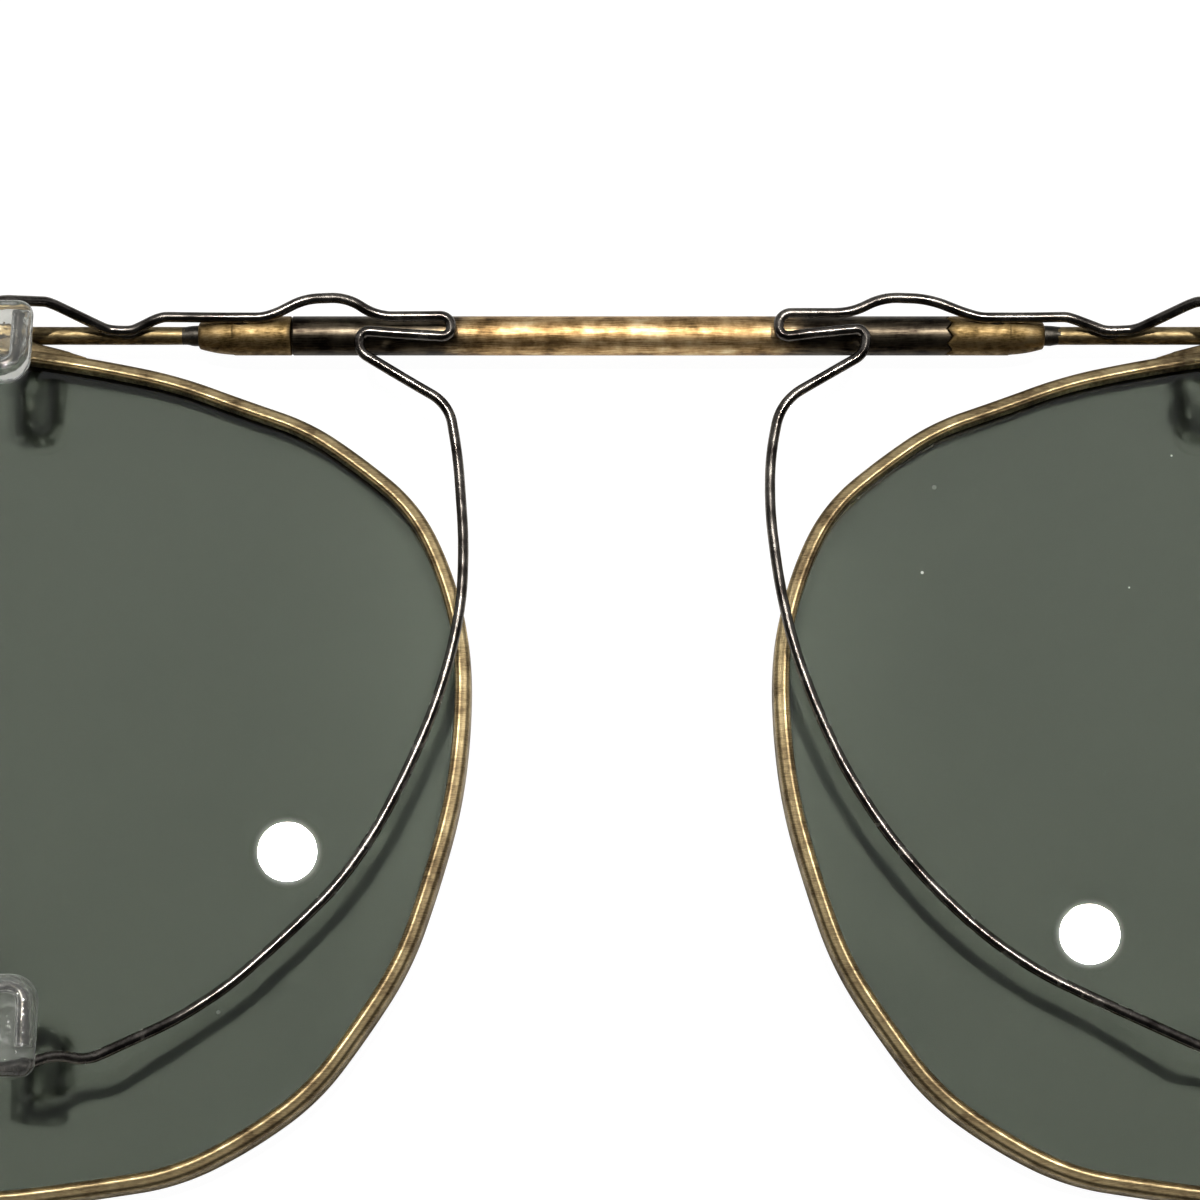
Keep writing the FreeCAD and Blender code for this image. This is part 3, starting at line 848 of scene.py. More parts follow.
class Outline:
    """Outer outline of the right rim as tangent arcs, sampled from the saw cut round to it again."""

    def __init__(self, centre: Vector, half_width: float, half_height: float) -> None:
        """Work out the arcs.

        Args:
            centre: Middle of the lens.
            half_width: Half of the rim's outer width.
            half_height: Half of its outer height.
        """
        self.knots: list[tuple[Vector, Vector]] = []
        for across, up, heading in OUTLINE_KNOTS:
            place = Vector((centre.x + across * half_width, centre.y + up * half_height))
            angle = math.radians(heading)
            way = Vector((math.cos(angle) * half_width, math.sin(angle) * half_height)).normalized()
            self.knots.append((place, way))

    def arc(self, start: Vector, way: Vector, end: Vector, step: float) -> list[tuple[Vector, Vector]]:
        """Corners of an arc that leaves start along way, without its end.

        Args:
            start: First corner.
            way: Unit heading at the start.
            end: Last corner.
            step: Greatest distance between corners.

        Returns:
            Corners with their headings.
        """
        chord = end - start
        normal = Vector((-way.y, way.x))
        turn = 2 * math.atan2(normal.dot(chord), way.dot(chord))
        radius = chord.length / (2 * math.sin(turn / 2)) if abs(turn) > 1e-6 else 0.0
        length = abs(radius * turn) if radius else chord.length
        parts = max(2, math.ceil(length / step))
        found = []
        for index in range(parts):
            angle = turn * index / parts
            heading = Matrix.Rotation(angle, 2) @ way
            if radius:
                place = start + normal * radius - (Matrix.Rotation(angle, 2) @ normal) * radius
            else:
                place = start + chord * (index / parts)
            found.append((place, heading))
        return found

    def corners(self, step: float) -> list[tuple[Vector, Vector]]:
        """Corners all round, anticlockwise from the saw cut.

        Args:
            step: Greatest distance between corners.

        Returns:
            Corners with their headings.
        """
        found: list[tuple[Vector, Vector]] = []
        total = len(self.knots)
        for offset in range(total):
            start, way = self.knots[(SPLIT_KNOT + offset) % total]
            end, end_way = self.knots[(SPLIT_KNOT + offset + 1) % total]
            span = end - start
            both = way + end_way
            spread = 2 * (1 - way.dot(end_way))
            along = span.dot(both)
            reach = (-along + math.sqrt(along * along + spread * span.dot(span))) / spread
            joint = (start + way * reach + end - end_way * reach) / 2
            first = self.arc(start, way, joint, step)
            joint_way = self.heading_at_end(start, way, joint)
            found += first + self.arc(joint, joint_way, end, step)
        return found

    @staticmethod
    def heading_at_end(start: Vector, way: Vector, end: Vector) -> Vector:
        """Heading with which an arc arrives at its end.

        Args:
            start: First corner.
            way: Unit heading at the start.
            end: Last corner.

        Returns:
            Unit heading at the end.
        """
        chord = end - start
        normal = Vector((-way.y, way.x))
        turn = 2 * math.atan2(normal.dot(chord), way.dot(chord))
        return Matrix.Rotation(turn, 2) @ way

    @staticmethod
    def inset(corner: tuple[Vector, Vector], distance: float) -> Vector:
        """Corner moved inward, across the outline.

        Args:
            corner: Corner with its heading.
            distance: How far to move it.

        Returns:
            The moved corner.
        """
        place, way = corner
        return place + Vector((-way.y, way.x)) * distance


# Bridge

class Bridge:
    """The bridge tube and what it holds."""

    RING_CORNERS = 128
    STEP = 0.14
    LIP = 0.05
    CRIMP_FROM_END = 5.15
    CRIMP_REACH = 0.525
    CRIMP_DEPTH = 0.15
    CRIMP_ANGLE = math.radians(140)
    TOOTH_FADE = 1.0

    def __init__(self, finishes: Finishes) -> None:
        """Read the tube's place.

        Args:
            finishes: The object's materials.
        """
        low, high = (corner / MM for corner in map(Vector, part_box("bridge_tube")))
        self.finishes = finishes
        self.end = high.x
        self.radius = (high.z - low.z) / 2
        self.y = (low.y + high.y) / 2
        self.z = (low.z + high.z) / 2

    def tooth(self, angle: float) -> float:
        """Depth of the toothed seam.

        Args:
            angle: Angle round the axis, in radians from the brow side.

        Returns:
            Depth of the teeth there.
        """
        pitch = 2 * math.pi / SIZES.tooth_count
        offset = (angle - math.pi / 2 + pitch / 2) % pitch - pitch / 2
        return SIZES.tooth_depth * max(0.0, 1 - abs(offset) / (SIZES.tooth_share * pitch / 2))

    def crimped(self, ring: Ring) -> Ring:
        """Ring with the crimps pressed into it.

        Args:
            ring: Ring of the plain tube.

        Returns:
            The pressed ring.
        """
        result = []
        for corner in ring:
            depth = 0.0
            for side in Side:
                centre = Vector((side.value * (self.end - self.CRIMP_FROM_END),
                                 self.y + self.radius * math.cos(self.CRIMP_ANGLE),
                                 self.z + self.radius * math.sin(self.CRIMP_ANGLE)))
                near = (corner - centre).length / self.CRIMP_REACH
                if near < 1:
                    depth += self.CRIMP_DEPTH * math.cos(near * math.pi / 2) ** 2
            inward = Vector((0, self.y - corner.y, self.z - corner.z)).normalized()
            result.append(corner + inward * depth)
        return result

    def ring(self, x: float, radius: float, toothed: float = 0.0) -> Ring:
        """Ring round the bridge axis.

        Args:
            x: Place along the axis.
            radius: Its radius.
            toothed: Share of the teeth that it follows.

        Returns:
            The ring.
        """
        reach = (lambda angle: -toothed * self.tooth(angle)) if toothed else None
        return circle_about_x(x, self.y, self.z, radius, self.RING_CORNERS, reach)

    def build_tube(self) -> bpy.types.Object:
        """Make the tube with rolled lips, crimps and the toothed end.

        Returns:
            The tube.
        """
        bore = self.radius - SIZES.tube_wall
        lip = self.LIP
        rows = math.ceil(2 * self.end / self.STEP)
        rings = []
        for index in range(rows + 1):
            x = -self.end + 2 * self.end * index / rows
            share = max(0.0, (x - self.end + self.TOOTH_FADE) / self.TOOTH_FADE)
            x = min(max(x, -self.end + lip), self.end - lip)
            rings.append(self.crimped(self.ring(x, self.radius, share)))
        left_lip = [self.ring(-self.end, radius) for radius in (bore + lip, self.radius - lip)]
        right_lip = [self.ring(self.end, radius, 1.0) for radius in (self.radius - lip, bore + lip)]
        inside = [self.ring(self.end - lip, bore, 1.0), self.ring(self.end - self.TOOTH_FADE, bore),
                  self.ring(-self.end + self.TOOTH_FADE, bore), self.ring(-self.end + lip, bore)]
        skin = Skin()
        skin.loft(left_lip + rings + right_lip + inside, loop=True)
        piece = skin.piece("bridge_tube_gilt", self.finishes.bridge, "bridge", "bridge_brass", crease=50)
        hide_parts("bridge_tube")
        return piece

    def dress_inner_parts(self) -> None:
        """Give the sealed pieces inside the tube their metal."""
        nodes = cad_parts
        for name, material in (("bridge_spring", self.finishes.steel),
                               ("left_guide_bushing", self.finishes.brass),
                               ("right_guide_bushing", self.finishes.brass)):
            dress(nodes[name], material)


def dress(node: bpy.types.Object, material: bpy.types.Material) -> None:
    """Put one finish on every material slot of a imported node.

    Args:
        node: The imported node.
        material: The finish.
    """
    if not node.material_slots:
        node.data.materials.append(material)
    for slot in node.material_slots:
        slot.material = material


# Lens frames

@dataclass
class LensFrame:
    """One lens with its rim, bar, collar, claw wire and pads, built on the right and mirrored."""

    side: Side
    bridge: Bridge
    finishes: Finishes
    outline_step: float = 0.22
    bar_corners: int = 40
    wire_corners: int = 20
    wire_step: float = 0.14
    saddle_outward: float = 0.06
    saddle_reach: float = 4.0
    saddle_taper: float = 2.6
    saddle_rows: int = 28
    saddle_half_depth: float = 0.42
    saddle_section: Sequence[tuple[float, float]] = (
        (-0.85, 0.8), (-0.6, 1), (0.6, 1), (0.85, 0.8), (1, 0), (-1, 0))
    collar_edge: float = 0.04
    collar_step: float = 0.035
    collar_bulge: float = 0.05
    tooth_fade: float = 0.9
    solder_overlap: float = 0.1
    solder_length: float = 0.95
    solder_crown: float = 0.07
    solder_lump: float = 0.05
    bead_height: float = 0.2
    pad_edge: float = 0.42
    pad_steepest: float = 84.375
    screw_corners: int = 48

    def __post_init__(self) -> None:
        """Read this frame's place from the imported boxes."""
        self.body = self.side.word + "_frame"
        low, high = self.right_box("lens")
        edge = SIZES.rim_radial - SIZES.groove_depth
        self.glass_low = low.z
        self.glass_high = high.z
        self.centre = Vector(((low.x + high.x) / 2, (low.y + high.y) / 2))
        self.half_width = (high.x - low.x) / 2 + edge
        self.half_height = (high.y - low.y) / 2 + edge
        self.outline = Outline(self.centre, self.half_width, self.half_height)
        self.corners = self.outline.corners(self.outline_step)
        self.bar_low, self.bar_high = self.right_box("top_bar")
        self.collar_low, self.collar_high = self.right_box("collar")
        self.wire_on_bar = self.bridge.z + SIZES.bar_radius + SIZES.wire_radius - SIZES.braze_sink
        bed = self.bridge.radius + SIZES.wire_radius - SIZES.braze_sink
        self.bed_rise = bed * math.sin(math.radians(SIZES.bed_angle))
        self.bed_height = self.bridge.z + bed * math.cos(math.radians(SIZES.bed_angle))
        self.wire_on_rim = SIZES.rim_depth + SIZES.rim_clearance + SIZES.wire_radius
        self.pad_height = SIZES.rim_depth + SIZES.pad_gap + SIZES.pad_thickness / 2
        self.weld_x = self.centre.x - self.own(SIZES.left_bed_inward, SIZES.right_bed_inward)
        self.lower_shift = self.own(0.0, SIZES.right_lower_shift)
        bottom = self.centre.y - self.half_height - self.bridge.y
        self.lower_y = bottom + SIZES.lower_claw_rise + self.own(0.0, SIZES.right_lower_lift)

    def own(self, left: float, right: float) -> float:
        """Size that was bent or placed differently on the two sides.

        Args:
            left: The left side's value.
            right: The right side's value.

        Returns:
            This side's value.
        """
        return left if self.side is Side.LEFT else right

    def right_box(self, node: str) -> tuple[Vector, Vector]:
        """Box of one of this side's nodes, as if it lay on the right.

        Args:
            node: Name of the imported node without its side.

        Returns:
            Lowest and highest corner in millimetres.
        """
        low, high = (Vector(corner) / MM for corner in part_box(self.side.word + "_" + node))
        if self.side is Side.LEFT:
            return Vector((-high.x, low.y, low.z)), Vector((-low.x, high.y, high.z))
        return low, high

    def finish_piece(self, skin: Skin, name: str, material: bpy.types.Material, slot: str,
                     node: Optional[str], crease: float = 40.0) -> bpy.types.Object:
        """Make a gathered skin into this side's piece.

        Args:
            skin: The gathered faces.
            name: Piece name without the side.
            material: Its finish.
            slot: The record's material slot.
            node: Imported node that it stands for, if any.
            crease: Angle above which an edge stays sharp.

        Returns:
            The piece.
        """
        piece = skin.piece(self.side.word + "_" + name, material, self.body, slot, crease)
        if node:
            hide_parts(self.side.word + "_" + node)
        return piece

    # Rim and glass

    def rim_section(self) -> list[tuple[float, float]]:
        """Section of the rim: rounded edges, falling outer face, fine line and groove for the glass.

        Returns:
            Inset from the outline and height of each corner.
        """
        radius = SIZES.rim_round
        top = SIZES.rim_depth
        inner = SIZES.rim_radial
        groove = inner - SIZES.groove_depth
        points = arc_corners(radius, radius, radius, 270, 180, 6)
        points += arc_corners(radius, top - SIZES.rim_fall - radius, radius, 180, 90, 6)
        points += [(0.44, top - 0.3 * SIZES.rim_fall), (0.52, top)]
        points += [(inset, top - share * SIZES.rim_valley) for inset, share in RIM_LINE]
        points += [(inner, self.glass_high), (groove, self.glass_high)]
        points += [(groove, self.glass_low), (inner, self.glass_low)]
        return points + arc_corners(inner - radius, radius, radius, 0, -90, 6)

    def build_rim(self) -> bpy.types.Object:
        """Make the rim with its saw cut and the braze under the bar.

        Returns:
            The rim.
        """
        section = self.rim_section()
        half_cut = SIZES.split_gap / 2
        first, first_way = self.corners[0]
        corners = [(first + Vector((0, half_cut)), first_way)]
        corners += self.corners[1:]
        corners.append((first - Vector((0, half_cut)), first_way))
        rings = []
        for pair in corners:
            rings.append([Outline.inset(pair, inset).to_3d() + Vector((0, 0, height))
                          for inset, height in section])
        skin = Skin()
        skin.loft(mirrored(rings, self.side))
        self.add_saddle(skin)
        return self.finish_piece(skin, "rim_ring", self.finishes.rim, "gilt_rim", "rim", crease=55)

    def add_saddle(self, skin: Skin) -> None:
        """Add the braze that fills the wedge between the rim's top and the bar.

        Args:
            skin: The rim's skin.
        """
        middle = self.centre.x + self.saddle_outward * self.half_width
        away = self.saddle_reach + self.saddle_taper
        into_rim = 0.25
        into_bar = 0.3
        rings = []
        for index in range(2 * self.saddle_rows + 1):
            x = middle + away * (-1 + index / self.saddle_rows)
            over = max(0.0, (abs(x - middle) - self.saddle_reach) / self.saddle_taper)
            low = self.rim_top_at(x) - into_rim
            high = self.bridge.y - (SIZES.bar_radius - 0.005 if over else into_bar)
            high += (low + into_rim - high) * min(1.0, over) ** 0.6
            middle_z = self.bridge.z - 0.05
            rings.append([Vector((x, low + (high - low) * up, middle_z + self.saddle_half_depth * across))
                          for across, up in self.saddle_section])
        skin.loft(mirrored(rings, self.side))

    def rim_top_at(self, x: float) -> float:
        """Height of the rim's upper edge at a place along X.

        Args:
            x: Place along X in millimetres.

        Returns:
            Height of the outline there.
        """
        return max(place.y for place, _ in self.corners if abs(place.x - x) < self.outline_step)

    def build_lens(self) -> bpy.types.Object:
        """Make the flat glass with a small ground edge.

        Returns:
            The lens.
        """
        edge = SIZES.rim_radial - SIZES.groove_depth + SIZES.lens_play
        bevel = SIZES.lens_bevel
        low = self.glass_low + SIZES.lens_play
        high = self.glass_high - SIZES.lens_play
        shares = (0.03, 0.3, 0.6, 0.85, 1.0)
        rings = [self.lens_ring(edge + bevel, share, low) for share in shares]
        rings += [self.lens_ring(edge, 1.0, low + bevel), self.lens_ring(edge, 1.0, high - bevel)]
        rings += [self.lens_ring(edge + bevel, share, high) for share in reversed(shares)]
        skin = Skin()
        skin.loft(mirrored(rings, self.side))
        return self.finish_piece(skin, "lens_glass", self.finishes.glass, "smoke_glass", "lens", crease=20)

    def lens_ring(self, inset: float, share: float, height: float) -> Ring:
        """Ring inside the outline, shrunk towards the middle of the lens.

        Args:
            inset: Distance inside the outline.
            share: Size as a share of the whole ring.
            height: Height off the table.

        Returns:
            The ring.
        """
        ring = []
        for pair in self.corners:
            place = self.centre + (Outline.inset(pair, inset) - self.centre) * share
            ring.append(Vector((place.x, place.y, height)))
        return ring

    # Bar, rod head and collar

    def build_bar(self) -> bpy.types.Object:
        """Make the straight rod with a domed tip.

        Returns:
            The rod.
        """
        radius = SIZES.bar_radius
        start = self.bar_low.x
        end = self.bar_high.x
        rows = math.ceil((end - start) / 0.5)
        stations = [(start, radius * 0.8), (start + 0.06, radius)]
        stations += [(start + (end - start - radius) * index / rows, radius) for index in range(1, rows)]
        stations += [(end - radius + along, own) for own, along in arc_corners(0, 0, radius, 0, 80, 8)]
        rings = []
        for x, own in stations:
            wander = 0.012 * noise.noise(Vector((x * 0.5, 3.0, self.side.value)))
            rings.append(circle_about_x(x, self.bridge.y, self.bridge.z, own - abs(wander), self.bar_corners))
        skin = Skin()
        skin.loft(mirrored(rings, self.side))
        return self.finish_piece(skin, "brow_bar", self.finishes.bar, "gilt_brass", "top_bar", crease=50)

    def build_collar(self) -> bpy.types.Object:
        """Make the tapered collar, toothed on the right, with its step line.

        Returns:
            The collar.
        """
        toothed = self.own(0.0, 1.0)
        edge = self.collar_edge
        radius = self.bridge.radius
        start = self.bridge.end + SIZES.seam_gap
        step = start + SIZES.collar_length
        tip = self.collar_high.x
        tip_radius = SIZES.collar_tip_radius
        past_step = radius - self.collar_step
        stations = [(start + edge + (step - start - 3 * edge) * index / 12, radius) for index in range(13)]
        stations += [(step - edge, radius - 0.3 * edge), (step, radius - 0.03), (step + 0.05, past_step)]
        for index in range(1, 13):
            share = index / 12
            bulge = self.collar_bulge * math.sin(math.pi * share)
            stations.append((step + 0.05 + (tip - step - 0.13) * share,
                             past_step + (tip_radius - past_step) * share + bulge))
        stations += [(tip - 0.03, tip_radius - 0.05), (tip, tip_radius - 0.14), (tip, SIZES.bar_radius)]
        rings = [self.bridge.ring(start + 0.3, SIZES.bar_radius),
                 self.bridge.ring(start, radius - SIZES.tube_wall, toothed),
                 self.bridge.ring(start, radius - edge, toothed)]
        for x, own in stations:
            rings.append(self.bridge.ring(x, own, toothed * max(0.0, 1 - (x - start) / self.tooth_fade)))
        skin = Skin()
        skin.loft(mirrored(rings, self.side), caps=False)
        return self.finish_piece(skin, "collar_cone", self.finishes.collar, "gilt_brass", "collar", crease=50)

    def build_solder(self) -> bpy.types.Object:
        """Make the solder ring at the collar's tip and the beads that hold the wire to the bar.

        Returns:
            The solder.
        """
        skin = Skin()
        rings = []
        for index in range(9):
            share = index / 8
            crown = self.solder_crown * abs(math.sin(math.pi * (0.35 + 0.65 * share))) ** 1.5
            x = self.collar_high.x - self.solder_overlap + self.solder_length * share
            ring = circle_about_x(x, self.bridge.y, self.bridge.z, SIZES.bar_radius + 0.004 + crown, 36)
            rings.append([self.lumpy(corner) for corner in ring])
        skin.loft(mirrored(rings, self.side))
        on_bar = Vector((self.weld_x - 0.3, self.bridge.y, self.wire_on_bar - 0.2))
        on_collar = Vector((self.collar_low.x + 2.6, self.bridge.y + 0.5,
                            self.bridge.z + self.bridge.radius - 0.1))
        self.add_bead(skin, on_bar, 0.6, 0.36)
        self.add_bead(skin, on_collar, 0.55, 0.3)
        return self.finish_piece(skin, "solder_joints", self.finishes.solder, "screw_steel", None, crease=80)

    def lumpy(self, corner: Vector) -> Vector:
        """Corner pushed towards the bridge axis by a smooth lump.

        Args:
            corner: Corner of the smooth solder.

        Returns:
            The pushed corner.
        """
        inward = Vector((0, self.bridge.y - corner.y, self.bridge.z - corner.z))
        if inward.length < SIZES.bar_radius:
            return corner
        push = self.solder_lump * abs(noise.noise(corner * 2.3 + Vector((0, 0, 7 * self.side.value))))
        return corner + inward.normalized() * push

    def add_bead(self, skin: Skin, middle: Vector, half_length: float, half_width: float) -> None:
        """Add a flat bead of solder between the wire and what it lies on.

        Args:
            skin: The solder's skin.
            middle: Middle of the bead.
            half_length: Half of its length along X.
            half_width: Half of its width.
        """
        rings = []
        for index in range(1, 12):
            turn = math.pi * index / 12
            own = math.sin(turn)
            rings.append([middle + Vector((-half_length * math.cos(turn), half_width * own * math.cos(angle),
                                           self.bead_height * own * math.sin(angle)))
                          for angle in (2 * math.pi * k / 20 for k in range(20))])
        skin.loft(mirrored(rings, self.side))

    # Claw wire and pads

    def upper_claw(self) -> list[tuple[float, float, float]]:
        """Hairpin of the upper pad and the bend over the top of the spectacle lens.

        Returns:
            Bend points: X, height above the bridge axis, height off the table.
        """
        x = self.centre.x
        bar = self.wire_on_bar
        top = self.pad_height
        lift = top - bar
        return [
            (x - 2.6, -0.9, top), (x - 2.55, -3.75, top), (x - 0.95, -3.75, top), (x - 0.85, -0.5, top),
            (x - 1.5, 0.1, top - 0.16 * lift), (x - 3.35, 0.8, bar + 0.43 * lift),
            (x - 3.75, 0.75, bar + 0.36 * lift), (x - 6.2, 0.05, bar),
        ]

    def collar_run(self) -> list[tuple[float, float, float]]:
        """Along the bar and up onto the collar.

        Returns:
            Bend points, as in upper_claw.
        """
        rise = self.bed_rise
        bar = self.wire_on_bar
        step = self.bridge.end + SIZES.seam_gap + SIZES.collar_length
        risen = self.collar_high.x + self.own(SIZES.left_rise_outward, SIZES.right_rise_outward)
        return [
            (self.weld_x, 0.0, bar), (self.weld_x - SIZES.bed_length, 0.0, bar),
            (risen, rise - 0.05, bar + 0.25), (risen - 0.45, rise + 0.08, bar + 0.3),
            (step + 0.6, rise, self.bed_height), (step - 1.6, rise, self.bed_height),
        ]

    def loops(self) -> list[tuple[float, float, float]]:
        """Hump over the tube's end and the two finger loops, as each side was bent.

        Returns:
            Bend points, as in upper_claw.
        """
        end = self.bridge.end
        bed = self.bed_height
        top = self.bridge.z + self.bridge.radius + SIZES.loop_clearance + SIZES.wire_radius
        hump = SIZES.hump_rise
        if self.side is Side.LEFT:
            return [
                (end + 0.75, 0.80, bed + 0.05), (end - 0.7, hump, bed + 0.1), (end - 2.9, hump, top - 0.1),
                (end - 4.5, 0.47, top), (end - 8.3, 0.50, top), (end - 8.4, -0.64, top),
                (end - 5.6, -0.47, top), (end - 3.65, -0.30, top), (end - 3.60, -1.45, top),
                (end - 6.3, -3.15, top),
            ]
        return [
            (end + 0.7, 0.80, bed + 0.05), (end - 1.2, hump, bed + 0.1), (end - 3.6, hump, top - 0.1),
            (end - 5.3, 0.66, top), (end - 9.0, 0.66, top), (end - 9.1, -0.68, top),
            (end - 7.3, -0.45, top), (end - 4.5, -0.16, top), (end - 4.6, -1.55, top),
            (end - 6.6, -2.75, top),
        ]

    def nose_run(self) -> list[tuple[float, float, float]]:
        """Down the nose side of the rim and out across the back of the lens.

        Returns:
            Bend points, as in upper_claw.
        """
        x = self.centre.x - self.half_width
        y = self.centre.y - self.bridge.y
        z = self.wire_on_rim
        if self.side is Side.LEFT:
            offsets = [(1.25, 18.45, 0.1), (0.75, 15.6, 0), (0.40, 11.2, 0), (0.45, 8.1, 0), (0.95, 5.2, 0),
                       (1.75, 2.4, 0), (2.95, -0.6, 0), (4.5, -3.8, 0), (6.35, -6.6, 0.1), (8.8, -9.1, 0.2),
                       (11.5, -11.6, 0.3), (14.0, -13.3, 0.5)]
        else:
            offsets = [(0.55, 18.6, 0.1), (-0.05, 15.6, 0), (-0.10, 12.6, 0), (0.30, 8.9, 0), (1.0, 5.5, 0),
                       (2.1, 2.3, 0), (3.4, -0.7, 0), (5.3, -3.85, 0), (7.4, -6.5, 0.1), (9.9, -9.0, 0.2),
                       (12.6, -10.95, 0.3), (15.8, -12.55, 0.5)]
        return [(x + across, y + up, z + lift) for across, up, lift in offsets]

    def lower_claw(self) -> list[tuple[float, float, float]]:
        """Under the bottom of the spectacle lens and up into the lower pad.

        Returns:
            Bend points, as in upper_claw.
        """
        x = self.centre.x - SIZES.lower_claw_inward + self.lower_shift
        y = self.lower_y
        z = self.wire_on_rim
        top = self.pad_height
        lift = top - z
        return [
            (x - 3.2, y + 0.75, z + 0.46 * lift), (x - 1.9, y + 0.95, z + 0.66 * lift),
            (x - 0.6, y + 0.35, z + 0.88 * lift), (x + 0.9, y, top - 0.1), (x + 1.15, y + 3.95, top),
            (x - 0.50, y + 3.95, top), (x - 0.55, y + 1.1, top),
        ]

    def placed(self, points: Sequence[tuple[float, float, float]]) -> list[Vector]:
        """Bend points as places in the frame.

        Args:
            points: Bend points with heights above the bridge axis.

        Returns:
            The places.
        """
        return [Vector((x, self.bridge.y + y, z)) for x, y, z in points]

    def build_wire(self) -> bpy.types.Object:
        """Make the spring wire from the upper hairpin to the lower one.

        Returns:
            The wire.
        """
        points = self.placed(self.upper_claw() + self.collar_run() + self.loops()
                             + self.nose_run() + self.lower_claw())
        path = rounded_path(points, self.wire_step)
        skin = Skin()
        skin.loft(mirrored(tube_rings(path, SIZES.wire_radius, self.wire_corners, uneven=0.03), self.side))
        return self.finish_piece(skin, "claw_spring_wire", self.finishes.wire, "spring_wire", "claw_wire", 60)

    def build_pads(self) -> None:
        """Make the upper and the lower clear pad, each with a tunnel for its hairpin."""
        drop = SIZES.pad_heel_drop
        heel = self.lower_y - drop
        self.build_pad("upper", self.centre.x - SIZES.upper_pad_inward, -drop - SIZES.upper_pad_length, -drop,
                       self.placed(self.upper_claw()[:4]))
        self.build_pad("lower", self.centre.x - SIZES.lower_pad_inward + self.lower_shift,
                       heel + SIZES.lower_pad_length, heel, self.placed(self.lower_claw()[3:]))

    def build_pad(self, word: str, middle: float, nose: float, heel: float,
                  hairpin: Sequence[Vector]) -> None:
        """Make one pad.

        Args:
            word: Which pad, upper or lower.
            middle: Its middle along X.
            nose: Its free end above the bridge axis.
            heel: The end that the wire enters, above the bridge axis.
            hairpin: Bend points of the wire inside it.
        """
        half_width = SIZES.pad_width / 2
        half_height = abs(heel - nose) / 2
        centre_y = self.bridge.y + (nose + heel) / 2
        up = 1 if nose > heel else -1
        half_depth = SIZES.pad_thickness / 2
        steepest = math.radians(self.pad_steepest)
        rings = []
        for index in range(-9, 10):
            turn = steepest * index / 9
            inset = self.pad_edge * (1 - math.cos(turn))
            z = self.pad_height + half_depth * math.sin(turn) / math.sin(steepest)
            rings.append(self.pad_ring(middle, centre_y, half_width, half_height, up, inset, z))
        low_cap = [self.shrunk(rings[0], share) for share in (0.15, 0.5, 0.8)]
        high_cap = [self.shrunk(rings[-1], share) for share in (0.8, 0.5, 0.15)]
        skin = Skin()
        skin.loft(mirrored(low_cap + rings + high_cap, self.side))
        path = rounded_path(hairpin, 0.16)
        tunnel = tube_rings(path, SIZES.wire_radius + SIZES.tunnel_play, self.wire_corners, round_ends=False)
        inside = [ring for ring in tunnel if self.within(ring, middle, centre_y, half_width, half_height)]
        skin.loft(mirrored(inside, self.side), flip=True)
        self.finish_piece(skin, word + "_soft_pad", self.finishes.clear, "clear_pad", word + "_pad", 70)

    @staticmethod
    def within(ring: Ring, x: float, y: float, half_width: float, half_height: float) -> bool:
        """Whether a ring lies inside a pad, clear of its skin.

        Args:
            ring: The ring.
            x: Middle of the pad along X.
            y: Middle of the pad along Y.
            half_width: Half of its width.
            half_height: Half of its height.

        Returns:
            True if every corner is inside.
        """
        return all(abs(v.x - x) < half_width - 0.08 and abs(v.y - y) < half_height - 0.1 for v in ring)

    @staticmethod
    def shrunk(ring: Ring, share: float) -> Ring:
        """Ring drawn in towards its own middle.

        Args:
            ring: The ring.
            share: Size as a share of the old one.

        Returns:
            The smaller ring.
        """
        middle = sum(ring, Vector()) / len(ring)
        return [middle + (corner - middle) * share for corner in ring]

    @staticmethod
    def pad_ring(x: float, y: float, half_width: float, half_height: float, up: int, inset: float,
                 z: float) -> Ring:
        """Plan of a pad at one height: round at its free end and squarer at its heel.

        Args:
            x: Middle of the pad along X.
            y: Middle of the pad along Y.
            half_width: Half of its width.
            half_height: Half of its height.
            up: 1 where the free end points to the brow, otherwise -1.
            inset: How far the plan is drawn in.
            z: Height off the table.

        Returns:
            The ring.
        """
        nose = 1.3 - inset * 0.5
        heel = 0.7 - inset * 0.3
        wide = half_width - inset
        high = half_height - inset
        ring = []
        for sx, sy, radius, first in ((1, 1, nose, 0), (-1, 1, nose, 90),
                                      (-1, -1, heel, 180), (1, -1, heel, 270)):
            across = x + sx * (wide - radius)
            for place, along in arc_corners(across, sy * (high - radius), radius, first, first + 90, 10):
                ring.append(Vector((place, y + up * along, z)))
        return ring if up > 0 else ring[::-1]

    # Closing blocks and screw

    def build_closing(self) -> None:
        """Make the two halves of the closing block and their screw."""
        for word, sign in (("upper", 1), ("lower", -1)):
            low, high = self.right_box("closing_block_" + word)
            rings = []
            for y, inset in self.block_levels(low.y, high.y, sign):
                rings.append(self.block_ring(low, high, y, inset))
            skin = Skin()
            skin.loft(mirrored(rings, self.side))
            self.finish_piece(skin, "closing_lug_" + word, self.finishes.rim, "gilt_rim",
                              "closing_block_" + word, crease=45)
        self.build_screw()

    @staticmethod
    def block_levels(low: float, high: float, sign: int) -> list[tuple[float, float]]:
        """Levels of a closing block: a small bevel at the cut and a large one outside.

        Args:
            low: Lower end along Y.
            high: Upper end along Y.
            sign: 1 for the upper block, -1 for the lower one.

        Returns:
            Places along Y with their inset.
        """
        cut, outer = 0.05, 0.35
        bevel = arc_corners(outer, high - low - outer, -outer, 0, -90, 6)
        levels = [(0.0, cut), (cut, 0.0)] + [(up, inset) for inset, up in bevel]
        if sign > 0:
            return [(low + up, inset) for up, inset in levels]
        return [(high - up, inset) for up, inset in reversed(levels)]

